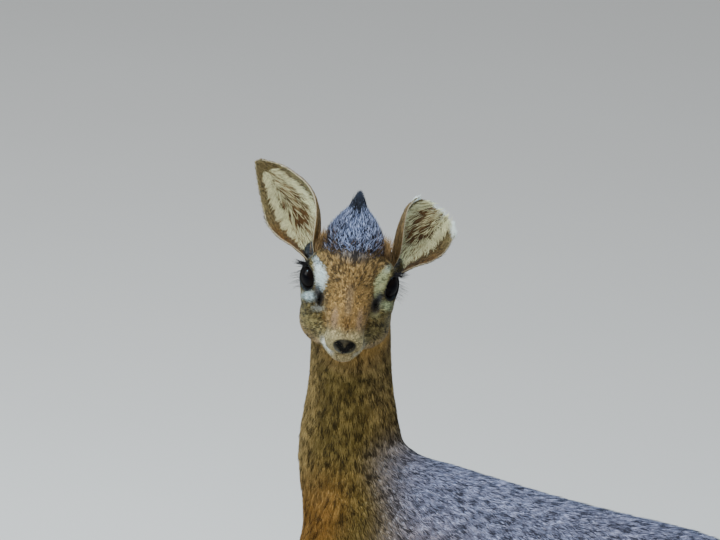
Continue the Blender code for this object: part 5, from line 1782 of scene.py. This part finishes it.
@dataclass
class DikDik:
    """The standing animal: skin, coat, eyes, ears, crest and hooves."""

    flesh: Flesh = field(default_factory=Flesh)
    kept_triangles: int = 165000

    def skin(self) -> bpy.types.Object:
        """One skin for every node of flesh, from its field, thinned and painted with the markings."""
        points, faces = SurfaceGrid().surface(self.flesh.skin)
        dense = new_mesh("dense_skin", points + SHIFT, faces)
        relax = dense.modifiers.new("relax", "SMOOTH")
        relax.factor, relax.iterations = 0.4, 2
        thin = dense.modifiers.new("thin", "DECIMATE")
        thin.ratio = min(1.0, self.kept_triangles / (2 * len(faces)))
        bpy.context.view_layer.update()
        mesh = bpy.data.meshes.new_from_object(dense.evaluated_get(bpy.context.evaluated_depsgraph_get()))
        bpy.data.objects.remove(dense)
        made = bpy.data.objects.new("dik_dik_skin", mesh)
        bpy.context.scene.collection.objects.link(made)
        mesh.shade_smooth()
        places, normals = vertex_arrays(made)
        markings = Markings(flesh=self.flesh)
        colour, _ = markings.coat(places - SHIFT, normals)
        bare = markings.bare(places - SHIFT)
        paint(made, "coat", colour * (0.6 + 0.4 * bare[:, None]))
        paint(made, "bare", np.repeat(bare[:, None], 3, axis=1))
        flesh_nodes = ["head", "nose", "neck", "torso", "tail"]
        flesh_nodes += [f"{limb.label}_{part}" for limb in Limb for part in ("upper", "lower", "foot")]
        return finished(made, SkinFinish().build(), "tawny_coat", *flesh_nodes)

    def build(self) -> None:
        """Builds every piece in order."""
        skin = self.skin()
        hair = HairFinish().build()
        markings = Markings(flesh=self.flesh)
        coat = Coat(skin, markings, Lie(self.flesh))
        for number, zone in enumerate(coat.zones):
            coat.build_zone(number, zone, hair)
        for side, root, lean in EAR_STANDS:
            ear = Ear(side, root, lean)
            ear.build(SkinFinish("ear_skin_" + side_name(side)).build())
            ear.short_hairs(hair)
            ear.fringe(hair)
            ear.base_tuft(hair)
            eye = Eye(side, self.flesh)
            eye.build()
            eye.lashes(hair)
        crest = Crest()
        crest.mound(SkinFinish("crest_under_hair").build())
        crest.build(hair)
        horn = PlainFinish("hoof_horn", (0.022, 0.018, 0.015), 0.38, 0.5, 260.0, 0.25).build()
        for name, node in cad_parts.items():
            if name.startswith(("hoof", "dewclaw")):
                node.data.materials.clear()
                node.data.materials.append(horn)


@dataclass
class Studio:
    """A pale floor, soft lights and the camera at the photo's place.

    A panel has a place, size, power and colour, and a catch light its distance aside and its power.
    """

    azimuth: float = math.radians(118.0)
    elevation: float = math.radians(15.0)
    roll: float = math.radians(4.0)
    distance: float = 6.0
    pixels_per_metre: float = 1400.0
    eye_pixel: tuple = (349.5, 280.5)
    picture: tuple = (720, 540)
    sky: tuple = (0.83, 0.86, 0.90)
    sky_strength: float = 0.55
    panels: dict = field(default_factory=lambda: {
        "sky_panel": ((0.3, -0.3, 2.6), 1.8, 88.0, (0.82, 0.91, 1.0)),
        "front_panel": ((2.2, 0.6, 1.3), 1.0, 38.0, (1.0, 0.95, 0.86)),
        "side_panel": ((0.9, -2.3, 1.2), 1.0, 30.0, (1.0, 0.97, 0.92)),
    })
    catch_lights: dict = field(default_factory=lambda: {
        "catch_light_left": (-0.82, 11.0),
        "catch_light_right": (0.84, 4.0),
    })

    def camera(self) -> None:
        """Aims the camera so that the middle of the eyes lands on eye_pixel at pixels_per_metre."""
        a, p, r = self.azimuth, self.elevation, self.roll
        right = Vector((math.cos(a), math.sin(a), 0.0))
        back = Vector((math.sin(a) * math.cos(p), -math.cos(a) * math.cos(p), math.sin(p)))
        up = back.cross(right)
        across = right * math.cos(r) + up * math.sin(r)
        rise = -right * math.sin(r) + up * math.cos(r)
        target = Vector(HEAD.world(np.zeros(3)) + SHIFT)
        scale = 1.0 / self.pixels_per_metre
        wide, high = self.picture
        target += across * ((wide / 2 - self.eye_pixel[0]) * scale)
        target += rise * ((self.eye_pixel[1] - high / 2) * scale)
        data = bpy.data.cameras.new("camera")
        data.sensor_width = 36.0
        data.lens = data.sensor_width * self.distance / (wide * scale)
        data.clip_end = 100.0
        camera = bpy.data.objects.new("camera", data)
        matrix = Matrix((across, rise, back)).transposed().to_4x4()
        matrix.translation = target + back * self.distance
        camera.matrix_world = matrix
        bpy.context.scene.collection.objects.link(camera)
        bpy.context.scene.camera = camera

    def light(self, name: str, place: tuple, size: float, power: float, colour: tuple) -> None:
        """One soft square light that faces the head."""
        data = bpy.data.lights.new(name, "AREA")
        data.size, data.energy, data.color = size, power, colour
        made = bpy.data.objects.new(name, data)
        made.location = Vector(place)
        aim = Vector(HEAD.world(np.zeros(3)) + SHIFT) - Vector(place)
        made.rotation_euler = aim.to_track_quat("-Z", "Y").to_euler()
        bpy.context.scene.collection.objects.link(made)

    def floor(self) -> None:
        """A wide, flat, pale floor."""
        s, t = np.meshgrid(np.linspace(-8, 8, 65), np.linspace(-8, 8, 65), indexing="ij")
        points = np.stack([s, t, np.zeros_like(s)], axis=-1).reshape(-1, 3)
        made = new_mesh("studio_floor", points, grid_faces(65, 65, closed=False))
        finish = PlainFinish("pale_floor", (0.62, 0.61, 0.58), 0.9, 0.02, 3.0, 0.0)
        made.data.materials.append(finish.build())

    def build(self) -> None:
        """Camera, lights, sky and floor."""
        self.camera()
        for name, (place, size, power, colour) in self.panels.items():
            self.light(name, place, size, power, colour)
        camera = bpy.context.scene.camera.matrix_world
        head = Vector(HEAD.world(np.zeros(3)) + SHIFT)
        for name, (aside, power) in self.catch_lights.items():
            place = head + 1.2 * (camera.col[0].to_3d() * aside + camera.col[1].to_3d() * 0.52)
            self.light(name, place, 0.15, power, (0.50, 0.80, 1.0))
        world = bpy.data.worlds.new("studio_world")
        world.use_nodes = True
        sky = world.node_tree.nodes["Background"].inputs
        sky["Color"].default_value = (*self.sky, 1.0)
        sky["Strength"].default_value = self.sky_strength
        bpy.context.scene.world = world
        self.floor()


def main() -> None:
    """Builds the animal and the studio, and reports each piece."""
    logging.basicConfig(level=logging.INFO, format="%(name)s: %(message)s")
    DikDik().build()
    Studio().build()


if __name__ == "__main__":
    main()
